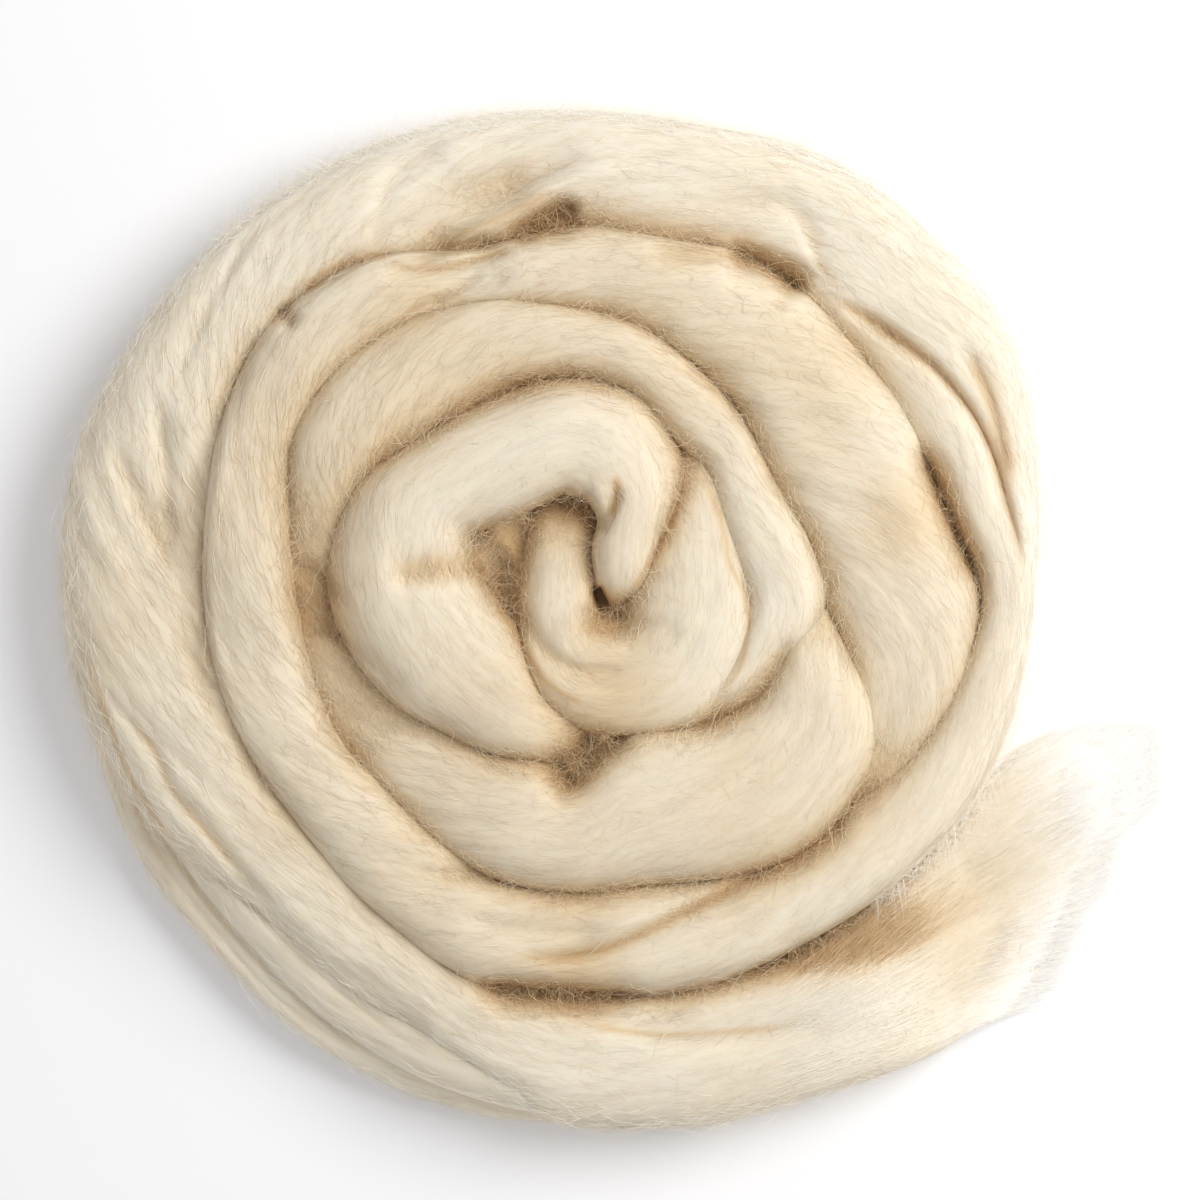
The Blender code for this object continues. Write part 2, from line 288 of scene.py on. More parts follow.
# ----------------------------------------------------------------- the creases
# Folds, dimples and hollows pressed into the strand, each along a line. depth is
# how deep, left and right how far it spreads to either side of the line, going
# along it: a short side is a steep one, where wool laps over. A negative depth
# is a ridge. Places are in mm from the eye.
CREASES = """
runs   depth left right line
whorl   5.6  7.5  2.8   -62,6 -54,7 -44,8 -36,9.5 -28,12 -20,16
whorl   3.0  6.0  6.0   -36,14 -28,8 -22,0 -20,-8
whorl  30.0  1.1  1.1   7.0,5.0 7.7,2.4 8.8,-0.4 10.8,-3.8
eye    30.0  1.1  1.1   7.0,5.0 7.7,2.4 8.8,-0.4 10.8,-3.8
whorl   3.4  1.6  2.4   12,37 13.5,34 12.5,30 10,25 8,19
whorl  -1.2  2.4  2.4   5,39 7,35 8,30 7.5,25
eye     2.4  1.8  1.0   36,44 34.5,36 31,26 26.5,17 22,9 17.5,1 13,-4
eye     3.2  2.4  3.4   -21,1 -16,-5 -13,-11 -7,-18 -2,-21 4,-23 20,-21
eye     1.8  5.0  6.0   8,-11 16,-8 26,-8 36,-13
outer   5.0  1.7  3.0   76,99 86,94.5 95,89 104.3,82.6 113,76 120,69 126.7,60.2 131,52 134.5,43 138.5,30 142,16 144,4
outer   1.8  3.2  1.8   36,122 50,126 62,127 70,124 75,117 77,110 80,104 84,99
outer   2.2  2.6  3.6   121,86 126,78 130,70.5 133,63 135.4,54 137.4,44 138.8,34
outer  10.5  3.8  6.6   45,110.5 54,109 62,106 69,101.5 75,96.5
outer   2.6  2.0  4.0   22,112.5 32,112 42,111 52,109
outer   9.0  3.0  4.5   108,52 112,45 117,34 123,20 128,10 133,2
outer  10.0  2.3  3.8   -22,114.5 -17,117 -12,120.5 -7,124 -2,125.5 3,124.5
outer   3.0  2.5  3.5   2,123 -1,119 -5,116.5 -11,115
outer   2.3  3.4  4.6   -65,108 -64,115 -62.5,123 -60.5,130 -56,137 -48,143 -38,147
outer   2.8  6.0  9.0   -58,110 -54,121 -49,126 -43,130 -35,132 -24,134 -10,140
outer  -3.0  4.5  5.0   -46,105 -38,112 -27,120 -16,126 -5,132 12,139 28,142
outer   2.8  7.0  2.4   -58,110 -43,116 -30,124 -21,130 -9,137 6,143
outer   4.0  2.5  4.0   -68,106 -61,108 -51,105.5 -40,106 -30,109 -16,113
outer   4.0  2.5  2.5   -58,109 -48,109 -43,112 -33,113.5 -22,114
outer   1.8  2.0  2.4   -29,108 -32,103 -38,98 -48,93
outer   2.0  1.6  2.8   -16,105 -24,101 -34,98.5 -46,95 -58,89
outer   1.8  1.6  3.4   -78,134 -100,119 -110,106 -116,96 -120,86 -126,72 -130,62
outer   6.5  2.2  2.8   -95,94 -91,90 -88,86
outer   3.8  4.6  3.0   -148,52 -142,36 -136,24 -131,14 -129,4
outer   3.8  3.2  4.6   -132,66 -131,46 -130,32 -128,14
outer  -3.4  4.0  4.0   -106,70 -113,48 -118.4,15 -118.4,0 -116,-15 -111.9,-30 -105,-44 -97,-57
outer   2.4  5.0  5.0   -82,-112 -75,-119 -66,-123 -54,-134 -44,-143
outer   3.6  2.4  6.0   -56,-84 -44,-87 -30,-87 -8,-90 20,-93
outer   9.0  3.6  5.0   -34,-120 -26,-124 -12,-126 8,-126 28,-124
outer   5.0  2.6  4.0   14,-126.5 30,-125 44,-122 58,-117.5 72,-112
outer   4.0  3.0  6.0   -22,-113 -4,-113.5 10,-111 23,-105.5 33,-100.5 43,-95.7 52,-91 60,-86 68,-80
outer   2.2  5.0  3.0   8,-136 26,-140 42,-141 59,-139 74,-136 88,-134
outer   1.8  6.0  4.0   -8,-129 4,-133 16,-136 30,-134 44,-133
outer   2.4  4.0  6.0   -40,-100 -20,-104 0,-106 14,-105
outer   7.0  4.0  4.6   48,-90 58,-87 68,-84 78,-77 90,-66
whorl   9.0  4.6  6.0   18,-38 12,-43 6,-48 0,-54 -4,-61 -7,-66
whorl   4.0  3.4  3.4   32,-42 50,-36 60,-26 72,-8
whorl   2.4  2.0  4.0   -93,14 -84,10.5 -77,4.5 -72,-3
whorl   2.6  4.0  1.8   -90,-12 -80,-10.5 -70,-16 -60,-25 -53,-34
whorl   2.6  5.0  6.0   20,-38 12,-44 3,-52 -4,-60
outer   2.4  2.4  3.0   -154,-22 -144.5,-35.6 -134,-48.6 -129,-60.4 -117,-74.8 -104,-91 -88,-110 -74,-125
"""

SKIRT_CREASES = """
runs   depth left right line
slack   2.0  2.2  2.8   -152,-30 -143,-55 -133.8,-70 -121,-93 -102,-116 -80,-136 -56,-152
slack   1.4  1.6  1.6   -146,-56 -134,-82 -118,-104 -96,-128 -70,-146
slack   1.2  1.4  1.4   -138,-50 -122,-76 -104,-98 -84,-118 -62,-136 -44,-148
"""

LOOSE_CREASES = """
runs   depth left right line
tail    3.8 14.0  3.0   58,-117.5 76,-115.5 90,-112.5 102,-109.5 110,-105.5 116,-101
tail    2.6 12.0  4.0   76,-115.5 90,-112.5 104,-109.5 114,-104 124,-98 136,-92 150,-86
tail    2.4  6.0  7.0   124,-92 134,-87 150,-80 168,-73
tail    1.6  4.0  5.0   116,-128 130,-122 138,-110 142,-100
tail    1.6  4.0  5.0   70,-140 88,-138 106,-134 122,-128
tail   -2.4  4.0  7.0   74,-124 91,-121.5 106,-117.5 118,-111 128,-105.5 142,-103
tail    1.2  4.0  4.0   140,-76 152,-68 166,-60
"""

# Painted shade: thin brown lines where wool closes on wool, down in the creases: how wide, how strong, and where.
SHADE_LINES = """
width strength line
1.3   0.42   76,99 86,94.5 95,89 104.3,82.6 113,76 120,69 126.7,60.2 131,52 134.5,43 138.5,30 142,16 144,4
2.4   0.46   124,81 128,74 131.5,66.5 134,59 136,51 137.8,43 139,35
1.0   0.30   -88,97 -80,104.5 -72,107.5 -61,111 -57,113
1.1   0.25   -61,108 -51,105.5 -40,106 -28,109.5 -18,112
1.2   0.26   -46,114 -36,117 -26,121 -16,126 -6,131
1.5   0.50   12,40 13.4,36.5 13.4,33 12.4,29.5 10.6,26
0.9   0.22   36,44 34.5,36 31,26 26.5,17 22,9 17.5,1 13,-4
1.0   0.26   37,42 43,34 47,24 49,12 54,2 55,-10 52,-22 44,-33
1.0   0.28   -27,2 -20,-9 -15,-17 -10,-25 -2,-31 6,-34
1.9   0.34   -20,-113.5 -4,-114 10,-111 23,-105.5 33,-100.5 43,-95.7 52,-91 60,-86
1.1   0.26   0,-134 14,-137.5 30,-139 46,-138 62,-137 78,-133
1.0   0.30   -156,-16 -151,-33 -143,-55 -134,-70 -125,-82
1.0   0.26   -144.5,-35.6 -134,-48.6 -129,-60.4 -117,-74.8 -104,-91
1.1   0.22   70,124 75,117 77,110 80,104 84,99
1.2   0.24   70,-117 90,-114.5 104,-112.5 115,-107 124,-101
"""


# --------------------------------------------------------------------- reading
def table(text):
    """The rows of a table as a list of {column: number}."""
    head, *rows = [line.split() for line in text.strip().splitlines()]
    return [dict(zip(head, map(float, row))) for row in rows]


def creases(text):
    """The rows of a crease table as (runs, depth, left, right, line as an (n, 2) array)."""
    made = []
    for row in text.strip().splitlines()[1:]:
        runs, depth, left, right, *line = row.split()
        points = np.array([[float(x) for x in p.split(",")] for p in line])
        made.append((runs, float(depth), float(left), float(right), points))
    return made


def shade_lines(text):
    """The rows of a table of painted crease shade as (width, strength, line as an (n, 2) array)."""
    made = []
    for row in text.strip().splitlines()[1:]:
        width, strength, *line = row.split()
        points = np.array([[float(x) for x in p.split(",")] for p in line])
        made.append((float(width), float(strength), points))
    return made


def edges(row):
    if "turn" in row:
        a = math.radians(row["turn"])
        way = np.array([math.cos(a), math.sin(a)])
        inner, outer = way * row["r_in"], way * row["r_out"]
    else:
        inner = np.array([row["x_in"], row["y_in"]])
        outer = np.array([row["x_out"], row["y_out"]])
    return [*inner, *outer, row["top"], row.get("lean", 0.0), row.get("twist", 0.0)]


def sections(rows, step):
    """Sections a step apart along a smooth run through the rows: x_in, y_in, x_out, y_out, top, lean, twist."""
    p = np.array([edges(row) for row in rows])
    p = np.vstack([2 * p[0] - p[1], p, 2 * p[-1] - p[-2]])
    t = (np.arange(24) / 24)[:, None]
    fine = [
        0.5
        * (
            2 * p[i]
            + (p[i + 1] - p[i - 1]) * t
            + (2 * p[i - 1] - 5 * p[i] + 4 * p[i + 1] - p[i + 2]) * t**2
            + (3 * p[i] - p[i - 1] - 3 * p[i + 1] + p[i + 2]) * t**3
        )
        for i in range(1, len(p) - 2)
    ]
    fine = np.vstack([*fine, p[-2:-1]])
    way = 0.35 * fine[:, :2] + 0.65 * fine[:, 2:4]
    s = np.concatenate([[0], np.cumsum(np.linalg.norm(np.diff(way, axis=0), axis=1))])
    at = np.linspace(0, s[-1], max(3, round(s[-1] / step) + 1))
    return np.stack([np.interp(at, s, col) for col in fine.T], axis=1)


# ----------------------------------------------------------------------- noise
def lattice(seed):
    return np.random.default_rng(seed).uniform(-1, 1, (256, 256))


def noise(u, v, seed):
    """Smooth noise from -1 to 1, one lump to a unit."""
    grid = lattice(seed)
    i, j = np.floor(u).astype(int), np.floor(v).astype(int)
    a, b = u - i, v - j
    a, b = a * a * (3 - 2 * a), b * b * (3 - 2 * b)
    i0, i1, j0, j1 = i % 256, (i + 1) % 256, j % 256, (j + 1) % 256
    return (grid[i0, j0] * (1 - a) + grid[i1, j0] * a) * (1 - b) + (
        grid[i0, j1] * (1 - a) + grid[i1, j1] * a
    ) * b


def smoothstep(x, low, high):
    t = np.clip((x - low) / (high - low), 0, 1)
    return t * t * (3 - 2 * t)


def coarse_at(x, y):
    """How much the fibres stand out: most on the left and the top turns, least in the middle."""
    r, a = np.hypot(x, y), np.arctan2(y, x)
    side = 0.5 + 0.5 * np.cos(a - math.radians(150))
    return 0.34 + 0.86 * smoothstep(r, 52, 74) * side**0.7


# ------------------------------------------------------------------ the strand
class Run:
    """One run of the strand as a grid: rings along it, stations round each."""

    def __init__(self, name, rows, kind, seed, step=RING_STEP, lap=LAP):
        self.name, self.kind, self.seed = name, kind, seed
        sec = sections(rows, step)
        self.top_h = sec[:, 4]
        inner, outer = sec[:, :2], sec[:, 2:4]
        middle, half = (inner + outer) / 2, np.linalg.norm(outer - inner, axis=1) / 2
        way = (outer - inner) / (2 * half[:, None])
        self.lean, self.half = sec[:, 5], half
        k = 288
        a = np.linspace(-math.pi / 2, 1.5 * math.pi, k + 1)
        c, s = np.cos(a), np.sin(a)
        p = np.where(
            s >= -1e-9, CROWN_POWER, np.where(c > 0, UNDER_POWER_OUT, UNDER_POWER_IN)
        )
        u = np.sign(c) * np.abs(c) ** (2 / p)
        v = np.sign(s) * np.abs(s) ** (2 / p)
        top = sec[:, 4][:, None]
        far = np.arange(len(sec))[:, None] * step
        lap_in = lap * (1 + 0.6 * noise(far / 38, 0.5 + 0 * far, seed + 71))
        lap_out = lap * (1 + 0.6 * noise(far / 38, 0.5 + 0 * far, seed + 72))
        off = (half[:, None] + np.where(u < 0, lap_in, lap_out)) * (
            u + self.lean[:, None] * np.maximum(v, 0)
        )
        z = WAIST * top + np.where(v >= 0, (1 - WAIST) * top, WAIST * top + SINK) * v
        z = np.maximum(z, FLOOR)
        length = np.concatenate(
            [
                np.zeros((len(sec), 1)),
                np.cumsum(np.hypot(np.diff(off), np.diff(z)), axis=1),
            ],
            axis=1,
        )
        i0, ic, i1 = (
            int(np.searchsorted(a, math.radians(d) - 1e-9)) for d in (-28, 90, 208)
        )
        nb = BED_STATIONS // 2
        self.first, self.last = nb, nb + TOP_STATIONS - 1
        f0 = np.arange(nb) / nb
        ft = np.arange(TOP_STATIONS) / (TOP_STATIONS - 1)
        f1 = np.arange(1, nb + 1) / (nb + 1)
        l0, lc, l1, le = (length[:, i][:, None] for i in (i0, ic, i1, k))
        at = np.concatenate(
            [l0 * f0, l0 + (l1 - l0) * ft, l1 + (le - l1) * f1], axis=1
        )
        n, m = at.shape
        o2, z2 = np.empty((n, m)), np.empty((n, m))
        for i in range(n):
            o2[i] = np.interp(at[i], length[i], off[i])
            z2[i] = np.interp(at[i], length[i], z[i])
        xy = middle[:, None] + way[:, None] * o2[..., None]
        self.p = np.dstack([xy, z2])  # the grid, mm from the eye
        self.w = at - lc  # the way round from the crown line
        self.w_first = self.w[:, self.first]
        self.dw = (self.w[:, self.last] - self.w_first) / (TOP_STATIONS - 1)
        crown = middle + way * (self.half * self.lean)[:, None]
        step_s = np.linalg.norm(np.diff(crown, axis=0), axis=1)
        self.s = np.concatenate([[0], np.cumsum(step_s)])
        self.twist = np.radians(sec[:, 6])
        drift = np.concatenate(
            [[0], np.cumsum(np.tan((self.twist[1:] + self.twist[:-1]) / 2) * step_s)]
        )
        self.q = self.w - drift[:, None]  # the same all along a fibre
        self.way, self.middle = way, middle
        self.n, self.m = n, m

    def normals(self):
        ds = np.gradient(self.p, axis=0)
        dw = np.roll(self.p, -1, axis=1) - np.roll(self.p, 1, axis=1)
        nn = np.cross(ds, dw)
        return nn / np.maximum(np.linalg.norm(nn, axis=2, keepdims=True), 1e-9)

    def press(self, rows):
        """Presses creases into the upward faces."""
        up = smoothstep(self.normals()[..., 2], -0.05, 0.35)
        dip = np.zeros(up.shape)
        xy = self.p[..., :2]
        for runs, depth, left, right, line in rows:
            if runs not in ("*", self.kind):
                continue
            reach = max(left, right) * 1.6
            low, high = line.min(0) - reach, line.max(0) + reach
            near = ((xy > low) & (xy < high)).all(axis=2) & (up > 0)
            if not near.any():
                continue
            away, side, run_at = nearest(xy[near], line)
            ends = smoothstep(np.minimum(run_at, 1 - run_at), 0, 0.24)
            spread = np.where(side > 0, left, right) * (0.6 + 0.4 * ends)
            x = away / spread
            shape = np.exp(-(x**1.5)) if depth > 0 else np.exp(-(x**2))
            dip[near] += depth * shape * ends
        self.p[..., 2] -= dip * up
        self.p[..., 2] = np.maximum(self.p[..., 2], FLOOR + (self.w * 0))

    def comb(self, amount=1.0):
        """Raises the soft lumps, and the pleats that run with the fibres."""
        nn = self.normals()
        s = self.s[:, None] + 0 * self.w
        q, w, z = self.q, self.w, self.p[..., 2]
        k = self.seed
        lumps = 0.9 * noise(s / 46, w / 30, k) + 0.5 * noise(s / 21, w / 15, k + 1)
        if self.kind == "bed":
            lumps = 2.4 * noise(s / 9, w / 13, k) + 0.8 * noise(s / 5, w / 6, k + 1)
        heavy = 0.5 + 0.5 * noise(s / 60, q / 24, k + 2)
        pleats = 0.60 * noise(s / 70, q / 8.0, k + 3) * (0.2 + heavy)
        pleats += 0.30 * noise(s / 60, q / 3.8, k + 4) * (0.1 + heavy)
        pleats += 0.10 * noise(s / 30, q / 1.9, k + 5)
        plain = coarse_at(self.p[..., 0], self.p[..., 1]) if self.kind != "bed" else 1.0
        move = (lumps + pleats * plain) * amount
        ends = np.minimum(np.arange(self.n), np.arange(self.n)[::-1])[:, None]
        move = move * smoothstep(z, FLOOR + 0.2, 5.0)
        if self.kind != "tail":
            move = move * smoothstep(ends, -1, 3)
        self.p = self.p + nn * move[..., None]
        self.p[..., 2] = np.maximum(self.p[..., 2], FLOOR)

    def at(self, s, w, grid):
        """grid's values at places along and across, and how far each place is past the top's stations."""
        i = np.clip(np.interp(s, self.s, np.arange(self.n)), 0, self.n - 1.0001)
        i0 = i.astype(int)
        fi = i - i0
        wf = self.w_first[i0] * (1 - fi) + self.w_first[i0 + 1] * fi
        dw = self.dw[i0] * (1 - fi) + self.dw[i0 + 1] * fi
        j = (w - wf) / dw
        past = np.maximum(-j, j - (TOP_STATIONS - 1))
        j = np.clip(j, 0, TOP_STATIONS - 1.0001) + self.first
        j0 = j.astype(int)
        fj = j - j0
        out = []
        for g in grid:
            fi3, fj3 = (fi[..., None], fj[..., None]) if g.ndim == 3 else (fi, fj)
            out.append(
                (g[i0, j0] * (1 - fi3) + g[i0 + 1, j0] * fi3) * (1 - fj3)
                + (g[i0, j0 + 1] * (1 - fi3) + g[i0 + 1, j0 + 1] * fi3) * fj3
            )
        return [*out, past]


def smooth_line(line, step):
    """A smooth line through the points, in short steps."""
    if len(line) < 3:
        return line
    p = np.vstack([2 * line[0] - line[1], line, 2 * line[-1] - line[-2]])
    made = []
    for i in range(1, len(p) - 2):
        count = max(1, round(np.linalg.norm(p[i + 1] - p[i]) / step))
        t = (np.arange(count) / count)[:, None]
        made.append(
            0.5
            * (
                2 * p[i]
                + (p[i + 1] - p[i - 1]) * t
                + (2 * p[i - 1] - 5 * p[i] + 4 * p[i + 1] - p[i + 2]) * t**2
                + (3 * p[i] - p[i - 1] - 3 * p[i + 1] + p[i + 2]) * t**3
            )
        )
    return np.vstack([*made, p[-2:-1]])


def nearest(points, line):
    """Each point's distance from a smooth line, which side of it the point is on, and how far along it, from 0 to 1."""
    fine = smooth_line(line, 3.0)
    a, b = fine[:-1], fine[1:]
    ab = b - a
    ap = points[:, None] - a[None]
    t = np.clip((ap * ab).sum(2) / (ab**2).sum(1), 0, 1)
    d = ap - t[..., None] * ab
    away = np.linalg.norm(d, axis=2)
    k = away.argmin(axis=1)
    row = np.arange(len(points))
    side = ab[k, 0] * d[row, k, 1] - ab[k, 1] * d[row, k, 0]
    return away[row, k], side, (k + t[row, k]) / len(a)


# ---------------------------------------------------------------------- meshes
def mesh_object(name, verts_mm, faces, uv=None, bake=None, floats=None):
    """An object from vertices in mm from the eye and faces in two arrays: smooth ones, then flat ones."""
    co = np.asarray(verts_mm, float).copy()
    co[:, :2] += EYE
    co *= MM
    mesh = bpy.data.meshes.new(name)
    loops = np.concatenate([f.ravel() for f in faces if len(f)])
    counts = np.concatenate([np.full(len(f), f.shape[1]) for f in faces if len(f)])
    starts = np.concatenate([[0], np.cumsum(counts)[:-1]])
    mesh.vertices.add(len(co))
    mesh.vertices.foreach_set("co", co.astype(np.float32).ravel())
    mesh.loops.add(len(loops))
    mesh.loops.foreach_set("vertex_index", loops.astype(np.int32))
    mesh.polygons.add(len(counts))
    mesh.polygons.foreach_set("loop_start", starts.astype(np.int32))
    mesh.polygons.foreach_set("loop_total", counts.astype(np.int32))
    mesh.polygons.foreach_set("use_smooth", np.arange(len(counts)) < len(faces[0]))
    for layer, values in (("Strand", uv), ("OFBake", bake)):
        if values is not None:
            made = mesh.uv_layers.new(name=layer)
            made.data.foreach_set("uv", values.astype(np.float32).ravel())
    mesh.update(calc_edges=True)
    for key, values in (floats or {}).items():
        made = mesh.attributes.new(key, "FLOAT", "POINT")
        made.data.foreach_set("value", values.astype(np.float32))
    mesh.validate()
    obj = bpy.data.objects.new(name, mesh)
    bpy.context.scene.collection.objects.link(obj)
    return obj


def strand_piece(name, run, first, last, floats, rows_folded=4, tuck=(0, 0)):
    """Rings first to last of a run as one closed piece. tuck is how many rings at each end shrink, to end inside the next piece."""
    m = run.m
    g = run.p[first : last + 1].copy()
    n = len(g)
    rings = np.arange(n)
    deep = 0.06 * np.maximum(tuck[0] - rings, 0) ** 2
    deep = deep + 0.06 * np.maximum(tuck[1] - (n - 1 - rings), 0) ** 2
    centre = g.mean(axis=1, keepdims=True)
    g = g + unit(centre - g) * deep[:, None, None]
    g[..., 2] = np.maximum(g[..., 2], FLOOR)
    verts = g.reshape(-1, 3)
    caps = np.array([g[0].mean(0), g[-1].mean(0)])
    verts = np.vstack([verts, caps])
    i, j = np.meshgrid(np.arange(n - 1), np.arange(m), indexing="ij")
    j2 = (j + 1) % m
    quads = np.stack(
        [i * m + j, (i + 1) * m + j, (i + 1) * m + j2, i * m + j2], axis=-1
    ).reshape(-1, 4)
    jj = np.arange(m)
    a, b = n * m, n * m + 1
    start = np.stack([np.full(m, a), jj, (jj + 1) % m], axis=1)
    end = np.stack([np.full(m, b), (n - 1) * m + (jj + 1) % m, (n - 1) * m + jj], 1)
    # the strand's own map: along it, and along one fibre, in steps of 100 mm
    q = run.q[first : last + 1]
    w = run.w[first : last + 1]
    s = run.s[first : last + 1]
    q_ext = np.concatenate([q, q[:, :1] + (w[:, -1] - w[:, 0])[:, None] + 1.0], axis=1)
    jl = np.stack([j, j, j + 1, j + 1], axis=-1)
    il = np.stack([i, i + 1, i + 1, i], axis=-1)
    uv = np.stack([s[il], q_ext[il, jl]], axis=-1).reshape(-1, 2) / 100
    cap_uv = np.zeros((2 * m * 3, 2))
    uv = np.vstack([uv, cap_uv])
    # the bake's map: the strip folded into a few rows, with the caps in a corner
    k = rows_folded
    per = math.ceil((n - 1) / k)
    row = i // per
    u_of = (il - (row * per)[..., None]) / per
    v_of = jl / m
    bake = np.stack(
        [0.01 + 0.96 * u_of, (row[..., None] + 0.03 + 0.94 * v_of) / k], axis=-1
    ).reshape(-1, 2)
    cap_bake = np.tile(
        np.array([[0.985, 0.4], [0.99, 0.4], [0.99, 0.41]]), (2 * m, 1)
    )
    bake = np.vstack([bake, cap_bake])
    vals = {
        key: np.concatenate([v[first : last + 1].ravel(), [0, 0]])
        for key, v in floats.items()
    }
    return mesh_object(name, verts, [quads, np.vstack([start, end])], uv, bake, vals)


def ribbons(name, centre, side, width, floats):
    """Flat pointed fibres: centre and side are (fibres, points, 3), width (fibres, points)."""
    f, k = centre.shape[:2]
    left = centre - side * width[..., None] / 2
    right = centre + side * width[..., None] / 2
    verts = np.stack([left, right], axis=2).reshape(-1, 3)
    base = (np.arange(f) * 2 * k)[:, None] + 2 * np.arange(k - 1)[None]
    quads = np.stack([base, base + 1, base + 3, base + 2], axis=-1).reshape(-1, 4)
    # each fibre has its own cell in the bake's map
    cells = math.ceil(math.sqrt(f))
    cx, cy = np.arange(f) % cells, np.arange(f) // cells
    along = np.arange(k) / (k - 1)
    u0 = (cx[:, None] + 0.15 + 0.7 * along) / cells
    v0 = (cy[:, None] + 0.25 + 0 * along) / cells
    v1 = (cy[:, None] + 0.75 + 0 * along) / cells
    pt = np.stack([np.stack([u0, v0], -1), np.stack([u0, v1], -1)], axis=2)
    bake = pt.reshape(-1, 2)[quads.ravel()]
    vals = {key: np.repeat(v, 2 * k) for key, v in floats.items()}
    return mesh_object(name, verts, [quads], None, bake, vals)


# ------------------------------------------------------------------- materials
def new_material(name):
    mat = bpy.data.materials.new(name)
    mat.use_nodes = True
    return mat, mat.node_tree, mat.node_tree.nodes["Principled BSDF"]


def node(tree, kind, **props):
    made = tree.nodes.new(kind)
    for key, value in props.items():
        setattr(made, key, value)
    return made


def ramp(tree, stops):
    made = tree.nodes.new("ShaderNodeValToRGB")
    bar = made.color_ramp.elements
    while len(bar) < len(stops):
        bar.new(0.5)
    for element, (at, colour) in zip(bar, stops):
        element.position = at
        element.color = (*colour, 1)
    return made


def streak(tree, source, scale, detail, rough=0.55):
    """Noise drawn out along the fibres. scale is lumps to 100 mm, along and across."""
    mapping = tree.nodes.new("ShaderNodeMapping")
    mapping.inputs["Scale"].default_value = (*scale, 1)
    made = tree.nodes.new("ShaderNodeTexNoise")
    made.inputs["Scale"].default_value = 1.0
    made.inputs["Detail"].default_value = detail
    made.inputs["Roughness"].default_value = rough
    tree.links.new(source, mapping.inputs["Vector"])
    tree.links.new(mapping.outputs["Vector"], made.inputs["Vector"])
    return made.outputs["Fac"]


def mix(tree, kind, fac, a, b):
    """Mixes two colours, each a socket or a colour."""
    made = tree.nodes.new("ShaderNodeMix")
    made.data_type = "RGBA"
    made.blend_type = kind
    made.inputs[0].default_value = 1.0
    if hasattr(fac, "links"):
        tree.links.new(fac, made.inputs[0])
    else:
        made.inputs[0].default_value = fac
    for socket, value in ((made.inputs[6], a), (made.inputs[7], b)):
        if hasattr(value, "links"):
            tree.links.new(value, socket)
        else:
            socket.default_value = (*value, 1)
    return made.outputs[2]


def soft_shader(shader, rough, sheen, under):
    shader.inputs["Roughness"].default_value = rough
    shader.inputs["Specular IOR Level"].default_value = 0.12
    shader.inputs["Sheen Weight"].default_value = sheen
    shader.inputs["Sheen Roughness"].default_value = 0.5
    shader.inputs["Sheen Tint"].default_value = (1.0, 0.96, 0.88, 1)
    if under:
        shader.inputs["Subsurface Weight"].default_value = under
        shader.inputs["Subsurface Radius"].default_value = (1.0, 0.66, 0.38)
        shader.inputs["Subsurface Scale"].default_value = 0.0045


def hollowed(tree, colour):
    """The colour, multiplied by painted shade: tan on the flanks and brown down in the hollows and creases, where shade
    falls, together with the wool's own tan.
    """
    hollow = node(tree, "ShaderNodeAttribute", attribute_name="hollow")
    shade_ramp = ramp(
        tree,
        [
            (0.0, (1, 1, 1)),
            (0.12, (0.95, 0.918, 0.862)),
            (0.34, (0.85, 0.735, 0.575)),
            (0.6, (0.71, 0.535, 0.345)),
            (1.0, (0.46, 0.29, 0.15)),
        ],
    )
    tree.links.new(hollow.outputs["Fac"], shade_ramp.inputs["Fac"])
    return mix(tree, "MULTIPLY", 1.0, colour, shade_ramp.outputs["Color"])


def paled(tree, colour):
    """The colour, paled nearly to white by painted light at the coil's lit rim and on the loose end, where its wool is
    also thin.
    """
    pale_and_lit = node(tree, "ShaderNodeAttribute", attribute_name="pale_and_lit")
    faded = ramp(tree, [(0.0, (0, 0, 0)), (1.0, (1, 1, 1))])
    tree.links.new(pale_and_lit.outputs["Fac"], faded.inputs["Fac"])
    return mix(tree, "MIX", faded.outputs["Color"], colour, (0.995, 0.98, 0.94))


def wool_material(name, light, mid, dark):
    """The mass of combed wool: streaks along the fibres, in colour and in relief, with tan and brown painted shade in
    its hollows and creases, and painted light paling its rim and its thin loose end.
    """
    mat, tree, shader = new_material(name)
    uv = node(tree, "ShaderNodeUVMap", uv_map="Strand").outputs["UV"]
    fine = streak(tree, uv, (6, 300), 2.0)
    broad = streak(tree, uv, (2.4, 26), 1.0)
    tint = ramp(tree, [(0.25, dark), (0.5, mid), (0.75, light)])
    tree.links.new(broad, tint.inputs["Fac"])
    hair = ramp(tree, [(0.25, (0.965, 0.955, 0.94)), (0.55, (1, 1, 1))])
    tree.links.new(fine, hair.inputs["Fac"])
    colour = mix(tree, "MULTIPLY", 1.0, tint.outputs["Color"], hair.outputs["Color"])
    colour = paled(tree, hollowed(tree, colour))
    tree.links.new(colour, shader.inputs["Base Color"])
    bump = node(tree, "ShaderNodeBump")
    bump.inputs["Strength"].default_value = 0.22
    bump.inputs["Distance"].default_value = 0.0004
    tree.links.new(fine, bump.inputs["Height"])
    tree.links.new(bump.outputs["Normal"], shader.inputs["Normal"])
    soft_shader(shader, 0.9, 0.0, 0.35)
    return mat


